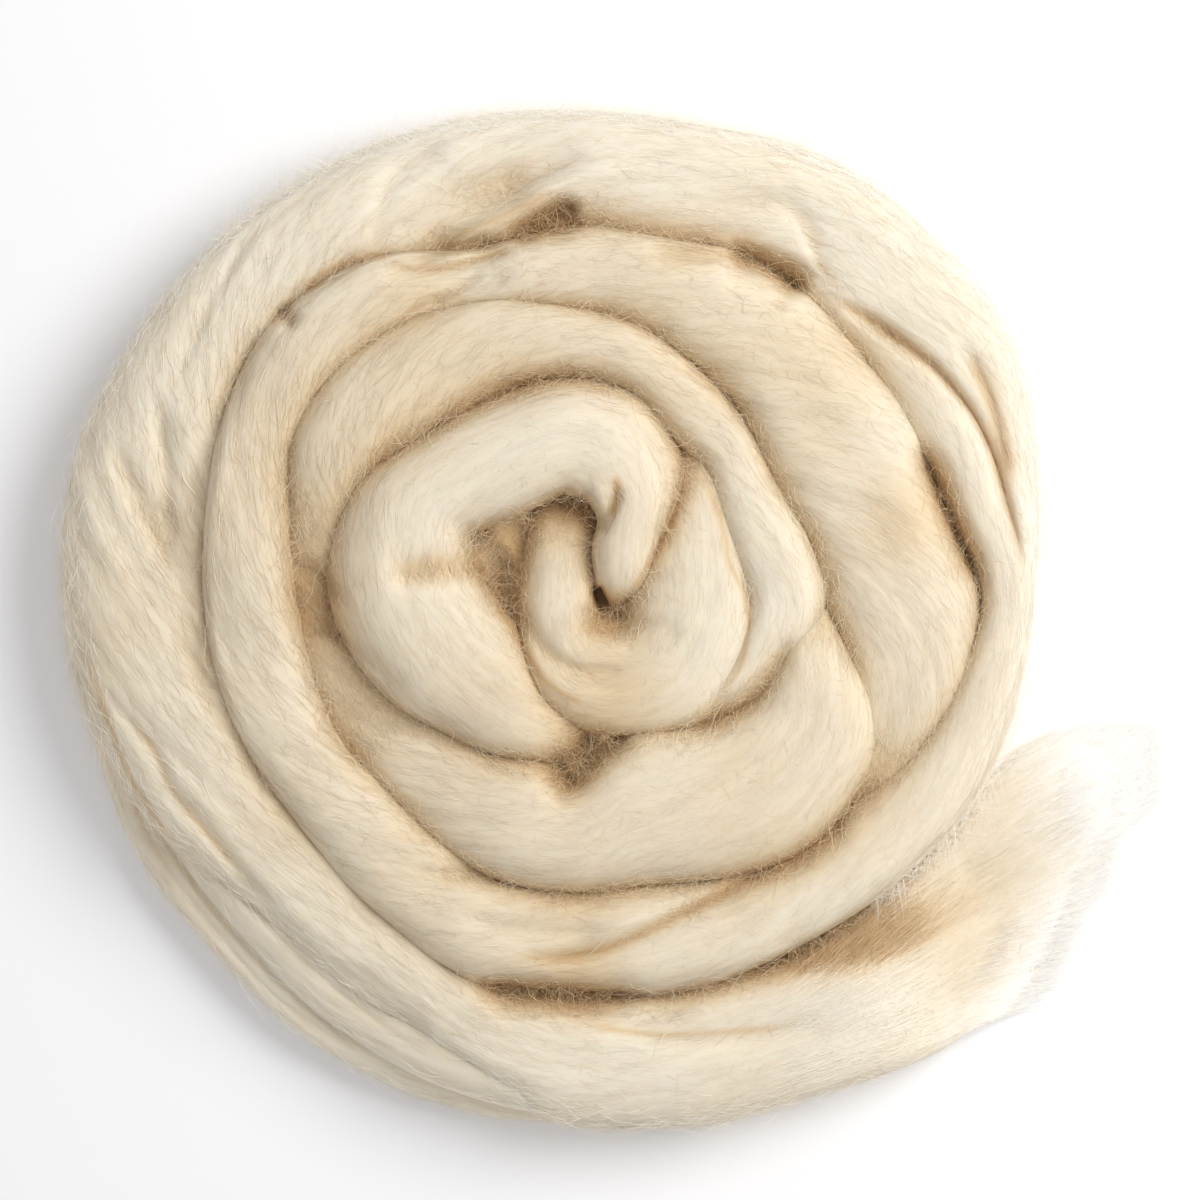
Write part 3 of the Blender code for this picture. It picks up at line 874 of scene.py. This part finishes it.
def fibre_material(name, dark, light):
    """Single fibres: each has its own tone, under the same painted shade and painted light as the mass."""
    mat, tree, shader = new_material(name)
    tone = node(tree, "ShaderNodeAttribute", attribute_name="tone")
    tint = ramp(tree, [(0.0, dark), (1.0, light)])
    tree.links.new(tone.outputs["Fac"], tint.inputs["Fac"])
    colour = paled(tree, hollowed(tree, tint.outputs["Color"]))
    tree.links.new(colour, shader.inputs["Base Color"])
    soft_shader(shader, 0.8, 0.0, 0.0)
    return mat


def finish_piece(obj, mat, nodes=()):
    obj.data.materials.append(mat)
    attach(obj, "root")
    if nodes:
        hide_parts(*nodes)
    return obj


# ------------------------------------------------------------------ height map
class HeightMap:
    """The top of everything, seen from above, in cells of 1.5 mm."""

    CELL = 1.5
    LOW = -215.0

    def __init__(self, runs):
        count = int(-2 * self.LOW / self.CELL)
        self.h = np.zeros((count, count))
        for run in runs:
            between = [
                run[:-1] * (1 - part) + run[1:] * part for part in (0, 0.25, 0.5, 0.75)
            ]
            p = np.concatenate([g.reshape(-1, 3) for g in between])
            ij = ((p[:, :2] - self.LOW) / self.CELL).astype(int)
            np.maximum.at(self.h, (ij[:, 0], ij[:, 1]), p[:, 2])

    def blurred(self, mm, h=None):
        """The same, smoothed over about this many mm."""
        h = self.h.copy() if h is None else h
        r = mm / self.CELL
        x = np.arange(-int(3 * r) - 1, int(3 * r) + 2)
        k = np.exp(-0.5 * (x / r) ** 2)
        k /= k.sum()
        for axis in (0, 1):
            h = np.apply_along_axis(lambda v: np.convolve(v, k, "same"), axis, h)
        return h

    def shut_in(self, ways=16):
        """How much of the sky each place loses to what stands round it, from 0 to 1."""
        h, lost = self.blurred(0.9), []
        for a in 2 * math.pi * np.arange(ways) / ways:
            steep = np.zeros(h.shape)
            for cells in (1.5, 2.5, 4, 6, 9, 13, 18, 24):
                i, j = round(cells * math.cos(a)), round(cells * math.sin(a))
                rise = np.roll(h, (-i, -j), (0, 1)) - h
                steep = np.maximum(steep, rise / (math.hypot(i, j) * self.CELL))
            lost.append(steep**2 / (1 + steep**2))
        lost = np.array(lost)
        both = np.sqrt(lost * np.roll(lost, ways // 2, axis=0))
        return self.blurred(1.2, (0.85 * both + 0.15 * lost).mean(axis=0))

    def filled(self, reach, mm):
        """The heights with every valley narrower than twice the reach filled in, smoothed over about this many mm."""
        k = round(reach / self.CELL)
        disc = [
            (i, j)
            for i in range(-k, k + 1)
            for j in range(-k, k + 1)
            if i * i + j * j <= k * k
        ]
        high = np.max([np.roll(self.h, d, (0, 1)) for d in disc], axis=0)
        low = np.min([np.roll(high, d, (0, 1)) for d in disc], axis=0)
        return self.blurred(mm, low)

    def sample(self, grid, x, y):
        u = np.clip((x - self.LOW) / self.CELL - 0.5, 0, len(grid) - 1.001)
        v = np.clip((y - self.LOW) / self.CELL - 0.5, 0, len(grid) - 1.001)
        i, j = u.astype(int), v.astype(int)
        a, b = u - i, v - j
        return (grid[i, j] * (1 - a) + grid[i + 1, j] * a) * (1 - b) + (
            grid[i, j + 1] * (1 - a) + grid[i + 1, j + 1] * a
        ) * b


# ---------------------------------------------------------------------- fibres
def unit(v):
    return v / np.maximum(np.linalg.norm(v, axis=-1, keepdims=True), 1e-9)


def along(path):
    return unit(np.gradient(path, axis=1))


def combed(run, count, length, wide, lift, spread, points, rng, tops, s_range=None):
    """Fibres that lie on a run with its grain: centre, side, width and tone."""
    s_low, s_high = s_range or (0, run.s[-1])
    s0 = rng.uniform(s_low, s_high, count)
    i = np.interp(s0, run.s, np.arange(run.n)).astype(int)
    w0 = run.w_first[i] + run.dw[i] * rng.uniform(4, TOP_STATIONS - 5, count)
    t = run.twist[i] + np.radians(rng.normal(0, spread, count))
    size = np.clip(length * np.exp(rng.normal(0, 0.35, count)), length * 0.4, length * 2.2)
    x = np.linspace(-0.5, 0.5, points)[None]
    bend = rng.normal(0, 0.12, count)[:, None] * size[:, None]
    wave = bend * (1 - (2 * x) ** 2)
    s = s0[:, None] + size[:, None] * x * np.cos(t)[:, None] - wave * np.sin(t)[:, None]
    w = w0[:, None] + size[:, None] * x * np.sin(t)[:, None] + wave * np.cos(t)[:, None]
    nn = run.normals()
    place, normal, past = run.at(s, w, [run.p, nn])
    keep = (past.max(axis=1) < 0) & (s.min(axis=1) > 0) & (s.max(axis=1) < run.s[-1])
    mid = place[:, points // 2]
    above = tops.sample(tops.h, mid[:, 0], mid[:, 1])
    keep &= mid[:, 2] > above - 2.2
    place, normal, mid = place[keep], unit(normal[keep]), mid[keep]
    n = len(place)
    arch = 1 - (2 * x) ** 2
    coarse = coarse_at(mid[:, 0], mid[:, 1])
    up = (coarse * lift * np.abs(rng.normal(0.5, 0.5, n)))[:, None]
    place = place + normal * ((up + 0.1) * arch - 0.04)[..., None]
    side = unit(np.cross(along(place), normal))
    roll = np.radians(coarse * rng.normal(0, 11, n))[:, None, None]
    side = side * np.cos(roll) + normal * np.sin(roll)
    width = (
        wide
        * np.exp(rng.normal(0, 0.25, n))[:, None]
        * (0.25 + 0.75 * np.clip(arch, 0, 1) ** 0.6)
    )
    return place, side, width, 0.56 + coarse * rng.normal(0, 0.27, n)


def joined(parts):
    return [np.concatenate(column) for column in zip(*parts)]


def strays(
    tops, crest, tint, count, rng, length, curl, swing, low, high, wide, points=6
):
    """Stray hairs over the creases and hollows that lie low to high below the crest beside them."""
    sink = crest - tops.h
    fit = (sink > low) & (sink < high) & (tops.h > 3)
    ij = np.argwhere(fit)
    middle = (ij + 0.5) * tops.CELL + tops.LOW - HOLE
    slit = (np.abs(middle[:, 0]) < 2.5) & (np.abs(middle[:, 1] - 12) < 13)
    ij = ij[(np.linalg.norm(middle, axis=1) > 4.0) & ~slit]
    pick = ij[rng.choice(len(ij), count)]
    start = (pick + rng.uniform(0, 1, (count, 2))) * tops.CELL + tops.LOW
    round_it = np.arctan2(start[:, 1], start[:, 0]) + math.pi / 2
    way = round_it + np.radians(rng.normal(0, swing, count))
    way += math.pi * rng.integers(0, 2, count)
    size = np.clip(length * np.exp(rng.normal(0, 0.45, count)), 2.5, 3 * length)
    k = points
    x = np.linspace(-0.5, 0.5, k)[None]
    turn = way[:, None] + rng.normal(0, curl, count)[:, None] * 2 * x
    turn += rng.normal(0, curl * 0.5, (count, 1)) * np.sin(
        2 * math.pi * x * rng.uniform(0.6, 1.6, (count, 1))
        + rng.uniform(0, 6, (count, 1))
    )
    step = (size / (k - 1))[:, None]
    px = np.cumsum(np.cos(turn) * step, axis=1)
    py = np.cumsum(np.sin(turn) * step, axis=1)
    px += (start[:, 0] - px[:, k // 2])[:, None]
    py += (start[:, 1] - py[:, k // 2])[:, None]
    ground = tops.sample(tops.h, px, py)
    t = (x + 0.5) * np.ones((count, 1))
    line = ground[:, :1] * (1 - t) + ground[:, -1:] * t
    slack = 4 * t * (1 - t) * size[:, None] * rng.uniform(-0.02, 0.3, (count, 1))
    z = np.maximum(line - slack, ground + 0.1 + 0.5 * rng.uniform(0, 1, (count, 1)))
    z[:, 0], z[:, -1] = ground[:, 0] - 0.4, ground[:, -1] - 0.4
    centre = np.dstack([px, py, z])
    keep = (ground.min(axis=1) > 2) & (np.abs(ground[:, 0] - ground[:, -1]) < 14)
    centre, t = centre[keep], t[keep]
    n = len(centre)
    way3 = along(centre)
    flat = unit(np.cross(way3, np.array([0.0, 0.0, 1.0])))
    roll = rng.uniform(-0.9, 0.9, n)[:, None, None]
    side = unit(flat * np.cos(roll) + np.cross(way3, flat) * np.sin(roll))
    width = wide * np.exp(rng.normal(0, 0.2, n))[:, None]
    width = width * (0.45 + 0.55 * np.sin(math.pi * t))
    mid = centre[:, k // 2]
    # painted shade on the hairs, as deep as in the creases where they lie
    painted_shade = tint(mid[:, 0], mid[:, 1], mid[:, 2]) * rng.uniform(0.55, 1.0, n)
    return centre, side, width, rng.normal(0.5, 0.3, n), painted_shade, np.zeros(n)


def fringe(run, count, rng, s_range, reach, length=7.0, wide=0.1, low=0, high=34):
    """Hairs that stand off the strand's outer side."""
    s0 = rng.uniform(*s_range, count)
    i = np.interp(s0, run.s, np.arange(run.n)).astype(int)
    w0 = run.w_first[i] + run.dw[i] * rng.uniform(low, high, count)
    place, normal, _ = run.at(s0, w0, [run.p, run.normals()])
    ahead, _, _ = run.at(np.minimum(s0 + 2.0, run.s[-1]), w0, [run.p, run.normals()])
    normal = unit(normal)
    way = unit(ahead - place) * rng.choice([-1.0, 1.0], count)[:, None]
    up = np.cross(way, normal)
    k = 5
    x = np.linspace(0, 1, k)[None, :, None]
    size = np.clip(length * np.exp(rng.normal(0, 0.4, count)), 3, 24)[:, None, None]
    rise = rng.uniform(0.02, reach, count)[:, None, None]
    swing = rng.normal(0, 0.35, count)[:, None, None]
    back = rng.uniform(0.2, 1.1, count)[:, None, None]
    path = place[:, None] - normal[:, None] * 0.3
    path = path + size * (
        way[:, None] * x
        + normal[:, None] * rise * (2.2 * x - back * 1.6 * x**2)
        + up[:, None] * swing * x**1.5
    )
    path[..., 2] = np.maximum(path[..., 2], 0.5)
    side = unit(np.cross(along(path), np.array([0.15, 0.1, 1.0])))
    width = wide * np.exp(rng.normal(0, 0.2, count))[:, None] * (1 - 0.75 * x[..., 0])
    tone, pale_and_lit = rng.normal(0.5, 0.2, count), np.full(count, 0.3)
    return path, side, width, tone, np.zeros(count), pale_and_lit


def tan_and_spot_shade_at(x, y):
    """How much tanner each place is painted: the wool's own tone, which varies, with the outer turn the palest and
    least tan at its top; spots of painted shade on strands that lie low and in the pockets, dimples, valleys and the
    small hole; and painted light, less tan on the lower left, away from the key light, and on a flank right of the eye.
    """
    r, a = np.hypot(x, y), np.arctan2(y, x)
    side = 0.5 + 0.5 * np.cos(a - math.radians(222))
    # painted light: a little less tan on the lower left, the side away from the key light
    turns = 0.10 - 0.03 * smoothstep(r, 60, 92) * side**0.8
    turns += 0.08 * smoothstep(r, 56, 74) - 0.09 * smoothstep(r, 112, 135)
    turns -= 0.05 * smoothstep(r, 112, 130) * np.exp(-(((a - 1.7) / 0.45) ** 2))
    inner = 0.28 * np.exp(-((x - 8) ** 2 + (y + 30) ** 2) / 400)
    inner += 0.03 * np.exp(-((x + 34) ** 2 + (y + 30) ** 2) / 300)
    # painted shade on the low strand left of the eye and beside the crease at the bottom
    inner += 0.20 * np.exp(-((x + 82) ** 2 / 110 + (y + 4) ** 2 / 160))
    inner += 0.11 * np.exp(-((x - 22) ** 2 / 800 + (y + 119) ** 2 / 40))
    inner += 0.06 * np.exp(-((x + 146) ** 2 / 200 + (y + 4) ** 2 / 700))
    inner += 0.045 * np.exp(-((x - 94) ** 2 / 300 + (y - 9) ** 2 / 700))
    # painted light: less tan on the flank right of the eye that faces away from the key light
    inner -= 0.09 * np.exp(-((x - 66) ** 2 / 90 + (y + 1) ** 2 / 200))
    inner -= 0.05 * np.exp(-((x + 59) ** 2 / 300 + (y + 42) ** 2 / 300))
    tan = (turns + inner) * (1 + 0.55 * noise(x / 26, y / 26, 95))
    # painted shade: tan in the pocket by the coil and the valleys of the loose end, the pocket at the top right, the
    # dimple left of the eye, the valley at the top, and in and below the small hole
    tan += 0.42 * np.exp(-((x - 100) ** 2) / 330 - (y + 106 - 0.3 * (x - 98)) ** 2 / 46)
    tan += 0.12 * np.exp(-((x - 129) ** 2) / 260 - (y + 91 - 0.6 * (x - 129)) ** 2 / 60)
    tan += 0.24 * np.exp(-((x - 134) ** 2) / 420 - (y + 112) ** 2 / 260)
    tan += 0.09 * np.exp(-((x - 148) ** 2) / 260 - (y + 80) ** 2 / 90)
    tan += 0.16 * np.exp(-((x - 36) ** 2) / 130 - (y - 109) ** 2 / 12)
    tan += 0.17 * np.exp(-((x + 45) ** 2 / 120 + (y - 10.5 - 0.1 * (x + 45)) ** 2 / 16))
    tan += 0.13 * np.exp(-((x + 27) ** 2 / 500 + (y - 131 - 0.4 * (x + 27)) ** 2 / 70))
    tan += 0.5 * np.exp(-((x - 8.4) ** 2 + (y - 0.5) ** 2) / 6)
    return tan + 0.18 * np.exp(-((x - 9) ** 2 / 60 + (y + 8) ** 2 / 14))


def line_shade_at(x, y):
    """How brown the painted crease shade makes each place."""
    xy = np.stack([x, y], axis=-1)
    brown = np.zeros(x.shape)
    for width, strength, line in shade_lines(SHADE_LINES):
        low, high = line.min(0) - 3 * width, line.max(0) + 3 * width
        near = ((xy > low) & (xy < high)).all(axis=-1)
        if near.any():
            away, _, run_at = nearest(xy[near], line)
            ends = smoothstep(np.minimum(run_at, 1 - run_at), 0, 0.2)
            brown[near] += strength * ends * np.exp(-((away / width) ** 2))
    return brown


def clear_of_pocket(x, y):
    """How far out on the loose end each place is, past the pocket by the coil, from 0 to 1."""
    return smoothstep(x + y + 107, 104, 150)


def thinness(x, y):
    """How thin the loose end's wool is at each place, from 0 to 1, which paints it paler: partly as thin wool, partly
    as painted light on its far end.
    """
    across = smoothstep(0.86 * x + 0.5 * y, 80, 124) + 0.5 * smoothstep(x, 140, 178)
    edge = 1 - smoothstep(0.855 * (150 - x) + 0.519 * (y + 125), 1, 24)
    return np.clip(np.maximum(across, edge) * smoothstep(x, 112, 132), 0, 1)


class Fan:
    """The loose end's outline and the way its fibres run, on its own height map."""

    def __init__(self, run, cut, over):
        points = np.array([[float(v) for v in p.split(",")] for p in FAN_OUTLINE.split()])
        self.line = smooth_line(np.vstack([points, points[:1]]), 4.0)
        self.tops = HeightMap([run.p[cut - 45 :]])
        self.soft = self.tops.blurred(4.0)
        self.over = over
        self.seed = 77

    def inside(self, x, y):
        a, b = self.line, np.roll(self.line, -1, axis=0)
        cross = (a[:, 1] > y[:, None]) != (b[:, 1] > y[:, None])
        at = a[:, 0] + (y[:, None] - a[:, 1]) * (b[:, 0] - a[:, 0]) / np.where(
            b[:, 1] == a[:, 1], 1e-9, b[:, 1] - a[:, 1]
        )
        return (cross & (x[:, None] < at)).sum(axis=1) % 2 == 1

    def way(self, x, y):
        """The fibres' heading: shallow along the lower side, steeper up along the coil."""
        t = np.clip((y - (-160 + 0.35 * (x - 70))) / (60 + 0.12 * (x - 70)), 0, 1)
        steep = 1 - smoothstep(x, 128, 172)
        turn = 15 + (12 + 14 * steep) * t + 7 * noise(x / 30, y / 14, self.seed)
        return np.radians(turn)

    def ground(self, x, y):
        return np.maximum(
            self.tops.sample(self.tops.h, x, y),
            0.85 * self.tops.sample(self.soft, x, y),
        )

    def fibres(self, count, rng, length, wide, loft, spread, low_x=70.0, points=7):
        """Long fibres in the fan, which run past its edge and float a little."""
        xy = rng.uniform((low_x, -162), (190, -38), (count * 4, 2))
        near = 0.25 + 0.75 * smoothstep(xy[:, 0] - 0.5 * xy[:, 1], 120, 165)
        xy = xy[self.inside(*xy.T) & (rng.uniform(0, 1, len(xy)) < near)][:count]
        n = len(xy)
        size = np.clip(length * np.exp(rng.normal(0, 0.35, n)), length * 0.4, length * 2)
        off = np.radians(rng.normal(0, spread, n))
        bend = rng.normal(0, 0.22, n)
        step = size / (points - 1)
        path = np.empty((n, points, 2))
        path[:, points // 2] = xy
        for way in (1, -1):
            at = xy.copy()
            for i in range(1, points // 2 + 1):
                turn = self.way(at[:, 0], at[:, 1]) + off + way * bend * i / points
                at = at + way * step[:, None] * np.stack(
                    [np.cos(turn), np.sin(turn)], axis=1
                )
                path[:, points // 2 + way * i] = at
        ground = self.ground(path[..., 0], path[..., 1])
        out = smoothstep(path[..., 0] * 0.86 - path[..., 1] * -0.5, 78, 125)
        rise = rng.uniform(0, 1, (n, 1)) ** 1.6
        x = np.linspace(0, 1, points)[None]
        z = ground + 0.08 + rise * (0.15 + loft * out * x)
        low = rng.uniform(0.32, 0.56, (n, 1)) + rng.uniform(0, 0.14, (n, 1)) * x
        z = np.maximum(z, low)
        z[:, 0] = np.maximum(z[:, 0] - 0.5, 0.3)
        place = np.dstack([path, z])
        over = self.over.sample(self.over.h, path[..., 0], path[..., 1])
        keep = (path[..., 0].max(axis=1) < 197) & ((over - ground).max(axis=1) < 5)
        place, n = place[keep], int(keep.sum())
        side = unit(np.cross(along(place), np.array([0.0, 0.0, 1.0])))
        width = wide * np.exp(rng.normal(0, 0.25, n))[:, None] * (
            1 - 0.65 * np.abs(2 * x - 0.8) ** 1.5
        )
        end = thinness(place[:, points // 2, 0], place[:, points // 2, 1])
        return place, side, width, rng.normal(0.5, 0.25, n), end


# ----------------------------------------------------------------------- build
def main():
    eye = Run("eye", table(EYE_FOLD), "eye", 11)
    bed = Run("bed", table(EYE_BED), "bed", 17, step=2.4)
    under = Run("under", table(UNDERSIDE), "bed", 19, step=5.0)
    whorl = Run("whorl", table(WHORL_START) + table(WHORL), "whorl", 23)
    rows = table(OUTER)
    outer = Run("outer", rows + table(LOOSE_END), "outer", 37)
    slack_a = Run("slack_a", table(SLACK_FOLD_A), "slack", 51)
    slack_b = Run("slack_b", table(SLACK_FOLD_B), "slack", 63)

    press = creases(CREASES)
    skirt = creases(SKIRT_CREASES)
    loose = [("outer", *c[1:]) for c in creases(LOOSE_CREASES)]
    for run in (eye, bed, whorl):
        run.press(press)
    outer.press(press + loose)
    for run in (slack_a, slack_b):
        run.press(skirt)
    for run, amount in (
        (eye, 0.8),
        (bed, 1.6),
        (under, 1.2),
        (whorl, 0.9),
        (outer, 1.25),
        (slack_a, 1.1),
        (slack_b, 1.1),
    ):
        run.comb(amount)
    runs = (eye, bed, under, whorl, outer, slack_a, slack_b)
    tops = HeightMap([run.p for run in runs])
    # crest, shut and wide measure how deep and how shut in each place lies, for the painted shade
    crest = tops.filled(13.5, 2.5)
    shut = tops.shut_in()
    wide = tops.blurred(4.5, shut)
    within = tops.blurred(6.0, (tops.h > 3).astype(float))

    def rim_light_at(x, y):
        """How much painted light pales the coil's rim, most on its lit top and right, from 0 to 1."""
        far = smoothstep(np.hypot(x, y), 112, 140)
        edge = 1 - smoothstep(tops.sample(within, x, y), 0.5, 0.99)
        lit = smoothstep(0.35 * x + y, -40, 90)
        return (0.09 + 0.29 * lit) * edge * far + 0.07 * lit * far

    wool = wool_material(
        "combed_wool_mass",
        (0.89, 0.825, 0.69),
        (0.87, 0.80, 0.66),
        (0.83, 0.75, 0.60),
    )

    def hollow_at(x, y, z):
        # Painted shade: the deeper a place lies below the crests round it and the more sky it loses, the tanner and
        # browner it is painted, a little less at the rim; the wool's tan, its spots of painted shade and the brown
        # lines of painted crease shade are added to it.
        patchy = 1.0 + 0.3 * noise(x / 17, y / 17, 91)
        low = np.clip((tops.sample(crest, x, y) - z) / 75.0, 0, 1)
        low = low * (0.3 + 0.7 * smoothstep(tops.sample(within, x, y), 0.55, 0.97))
        tight = tops.sample(shut, x, y)
        low = low + 0.95 * tight**1.5 + 0.6 * tops.sample(wide, x, y)
        low = np.maximum(low * patchy + tan_and_spot_shade_at(x, y) + line_shade_at(x, y), 0)
        return np.where(low < 0.55, low, 0.55 + 0.45 * (1 - np.exp(-(low - 0.55) / 0.6)))

    def shades(run, pale_and_lit=None):
        x, y, z = run.p[..., 0], run.p[..., 1], run.p[..., 2]
        return {
            "hollow": hollow_at(x, y, z),
            "pale_and_lit": np.maximum(rim_light_at(x, y), 0 if pale_and_lit is None else pale_and_lit),
        }

    # where the strand is cut for the loose end
    cut_turn = math.radians(1743)
    row = rows[-1]
    r = (row["r_in"] + row["r_out"]) / 2
    cut_at = np.array([math.cos(cut_turn), math.sin(cut_turn)]) * r
    cut = int(np.linalg.norm(outer.middle - cut_at, axis=1)[outer.n // 2 :].argmin())
    cut += outer.n // 2
    half_way = cut // 2
    fade = thinness(outer.p[..., 0], outer.p[..., 1])

    for name, run, first, last, rows_folded, stands_for in (
        ("wool_eye", eye, 0, eye.n - 1, 2, ()),
        ("wool_eye_bed", bed, 0, bed.n - 1, 1, ()),
        ("wool_underside", under, 0, under.n - 1, 1, ()),
        ("wool_whorl", whorl, 0, whorl.n - 1, 4, ["roving_coil"]),
        ("wool_turns", outer, 0, cut + TUCK, 4, ()),
        ("wool_slack_inner", slack_a, 0, slack_a.n - 1, 2, ()),
        ("wool_slack_outer", slack_b, 0, slack_b.n - 1, 2, ()),
    ):
        tuck = (0, TUCK if run is outer else 0)
        finish_piece(
            strand_piece(name, run, first, last, shades(run), rows_folded, tuck),
            wool,
            stands_for,
        )
    shaded = shades(outer, fade)
    # on the loose end the painted shade mostly gives way, out past the pocket by the coil, to an even tan
    clear = clear_of_pocket(outer.p[..., 0], outer.p[..., 1])
    shaded["hollow"] = shaded["hollow"] * (1 - 0.75 * clear) + 0.12 * clear
    tail = finish_piece(
        strand_piece(
            "wool_loose_end", outer, cut - TUCK, outer.n - 1, shaded, 1, (TUCK, 0)
        ),
        wool,
        ["loose_end"],
    )

    def hairs(name, parts, mat):
        centre, side, width, tone, low, pale_and_lit = joined(parts)
        values = {"tone": tone, "hollow": low, "pale_and_lit": pale_and_lit}
        return finish_piece(ribbons(name, centre, side, width, values), mat)

    def lying(run, count, where=None, **changes):
        facts = dict(
            length=11.0, wide=0.17, lift=0.2, spread=11.0, points=4, rng=RNG, tops=tops
        )
        centre, side, width, tone = combed(
            run, count, s_range=where, **{**facts, **changes}
        )
        mid = centre[:, centre.shape[1] // 2]
        # the fibres take the painted shade and the rim's painted light of where they lie
        low = hollow_at(mid[:, 0], mid[:, 1], mid[:, 2])
        return centre, side, width, tone, low, rim_light_at(mid[:, 0], mid[:, 1])

    # combed fibres on the surface
    fibres = fibre_material("wool_fibres", (0.77, 0.69, 0.545), (0.95, 0.895, 0.775))
    strays_mat = fibre_material("wool_strays", (0.75, 0.665, 0.515), (0.96, 0.905, 0.79))
    middle, end = outer.s[half_way], outer.s[cut]
    hairs(
        "fibres_whorl", [lying(whorl, 15500), lying(eye, 3800), lying(bed, 1000)], fibres
    )
    hairs("fibres_turns_inner", [lying(outer, 17000, (0, middle))], fibres)
    hairs(
        "fibres_turns_outer",
        [lying(outer, 16500, (middle, end)), lying(slack_a, 1800), lying(slack_b, 1800)],
        fibres,
    )
    fuzz = dict(length=5.0, wide=0.11, lift=0.9, spread=42.0)
    hairs(
        "fuzz_on_top",
        [
            lying(run, count, **fuzz)
            for run, count in ((whorl, 5400), (eye, 1400), (outer, 11500))
        ],
        strays_mat,
    )
    hairs(
        "strays_over_creases",
        [
            strays(tops, crest, hollow_at, 2200, RNG, 10.0, 0.9, 24, 3.0, 12.0, 0.10),
            strays(tops, crest, hollow_at, 2000, RNG, 6.0, 1.5, 70, 12.0, 50.0, 0.10),
            strays(tops, crest, hollow_at, 1100, RNG, 7.0, 2.0, 80, 18.0, 50.0, 0.10),
        ],
        strays_mat,
    )
    hairs(
        "fuzz_in_creases",
        [strays(tops, crest, hollow_at, 9000, RNG, 3.6, 1.1, 36, 3.0, 20.0, 0.10, 4)],
        strays_mat,
    )
    s_out = outer.s[int(np.abs(outer.s - 0.52 * outer.s[cut]).argmin())]
    turned = np.unwrap(np.arctan2(outer.middle[:, 1], outer.middle[:, 0]))
    turned = np.degrees(turned - turned[0]) + rows[0]["turn"]
    right_side = tuple(np.interp((1395, 1575), turned[:cut], outer.s[:cut]))
    hairs(
        "fringe_outline",
        [
            fringe(outer, 7000, RNG, (s_out, end), 0.34, length=6.0),
            fringe(outer, 5500, RNG, right_side, 1.1, length=4.5, wide=0.09, high=30),
            fringe(slack_a, 500, RNG, (5, slack_a.s[-1] - 5), 0.3, length=6.0),
            fringe(slack_b, 1000, RNG, (5, slack_b.s[-1] - 5), 0.3, length=6.0),
        ],
        strays_mat,
    )
    fan = Fan(outer, cut, tops)

    def fanned(*given, **more):
        centre, side, width, tone, pale_and_lit = fan.fibres(*given, **more)
        mid = centre[:, centre.shape[1] // 2]
        low = hollow_at(mid[:, 0], mid[:, 1], mid[:, 2])
        # the fan's fibres take the painted shade of where they lie, which mostly gives way past the pocket by the coil
        # to an even tan
        clear = clear_of_pocket(mid[:, 0], mid[:, 1])
        return centre, side, width, tone, low * (1 - 0.75 * clear) + 0.12 * clear, pale_and_lit

    veil = hairs(
        "fibres_loose_end",
        [
            fanned(6500, RNG, 24.0, 0.13, 0.2, 4.0, points=5),
            fanned(9500, RNG, 22.0, 0.11, 0.3, 6.0, low_x=118.0, points=5),
        ],
        fibre_material("loose_fibres", (0.88, 0.81, 0.67), (0.96, 0.91, 0.80)),
    )
    counts = {}
    for obj in bpy.data.objects:
        if obj.type == "MESH":
            obj.data.calc_loop_triangles()
            counts[obj.name] = len(obj.data.loop_triangles)
    print("triangles", counts, sum(counts.values()))


def plain_material(name, colour, rough):
    mat, tree, shader = new_material(name)
    shader.inputs["Base Color"].default_value = (*colour, 1)
    shader.inputs["Roughness"].default_value = rough
    shader.inputs["Specular IOR Level"].default_value = 0.1
    return mat


def studio():
    bpy.ops.mesh.primitive_plane_add(size=14.0, location=(0, 0, 0))
    floor = bpy.context.object
    floor.name = "floor"
    floor.data.materials.append(plain_material("floor_white", (0.97, 0.97, 0.975), 0.9))

    def lamp(name, place, size, power, colour, target=(0, 0, 0.02)):
        data = bpy.data.lights.new(name, "AREA")
        data.shape = "DISK"
        data.size = size
        data.energy = power
        data.color = colour
        obj = bpy.data.objects.new(name, data)
        obj.location = place
        obj.rotation_euler = (
            (Vector(target) - Vector(place)).to_track_quat("-Z", "Y").to_euler()
        )
        bpy.context.scene.collection.objects.link(obj)

    lamp("key", (0.87, 0.44, 1.05), 1.02, 15.6, (1.0, 0.99, 0.97))
    world = bpy.data.worlds.new("studio")
    world.use_nodes = True
    back = world.node_tree.nodes["Background"]
    back.inputs["Color"].default_value = (0.97, 0.97, 1.0, 1)
    back.inputs["Strength"].default_value = 0.59
    bpy.context.scene.world = world

    camera = bpy.data.objects.new("camera", bpy.data.cameras.new("camera"))
    distance, wide = 2.0, 0.384
    camera.location = (-0.0031, 0.0037, 0.03 + distance)
    camera.rotation_euler = (0, 0, 0)
    camera.data.sensor_width = 36.0
    camera.data.lens = 36.0 * distance / wide
    camera.data.clip_end = 50.0
    bpy.context.scene.collection.objects.link(camera)
    bpy.context.scene.camera = camera
    bpy.context.scene.view_settings.view_transform = "Standard"


main()
studio()
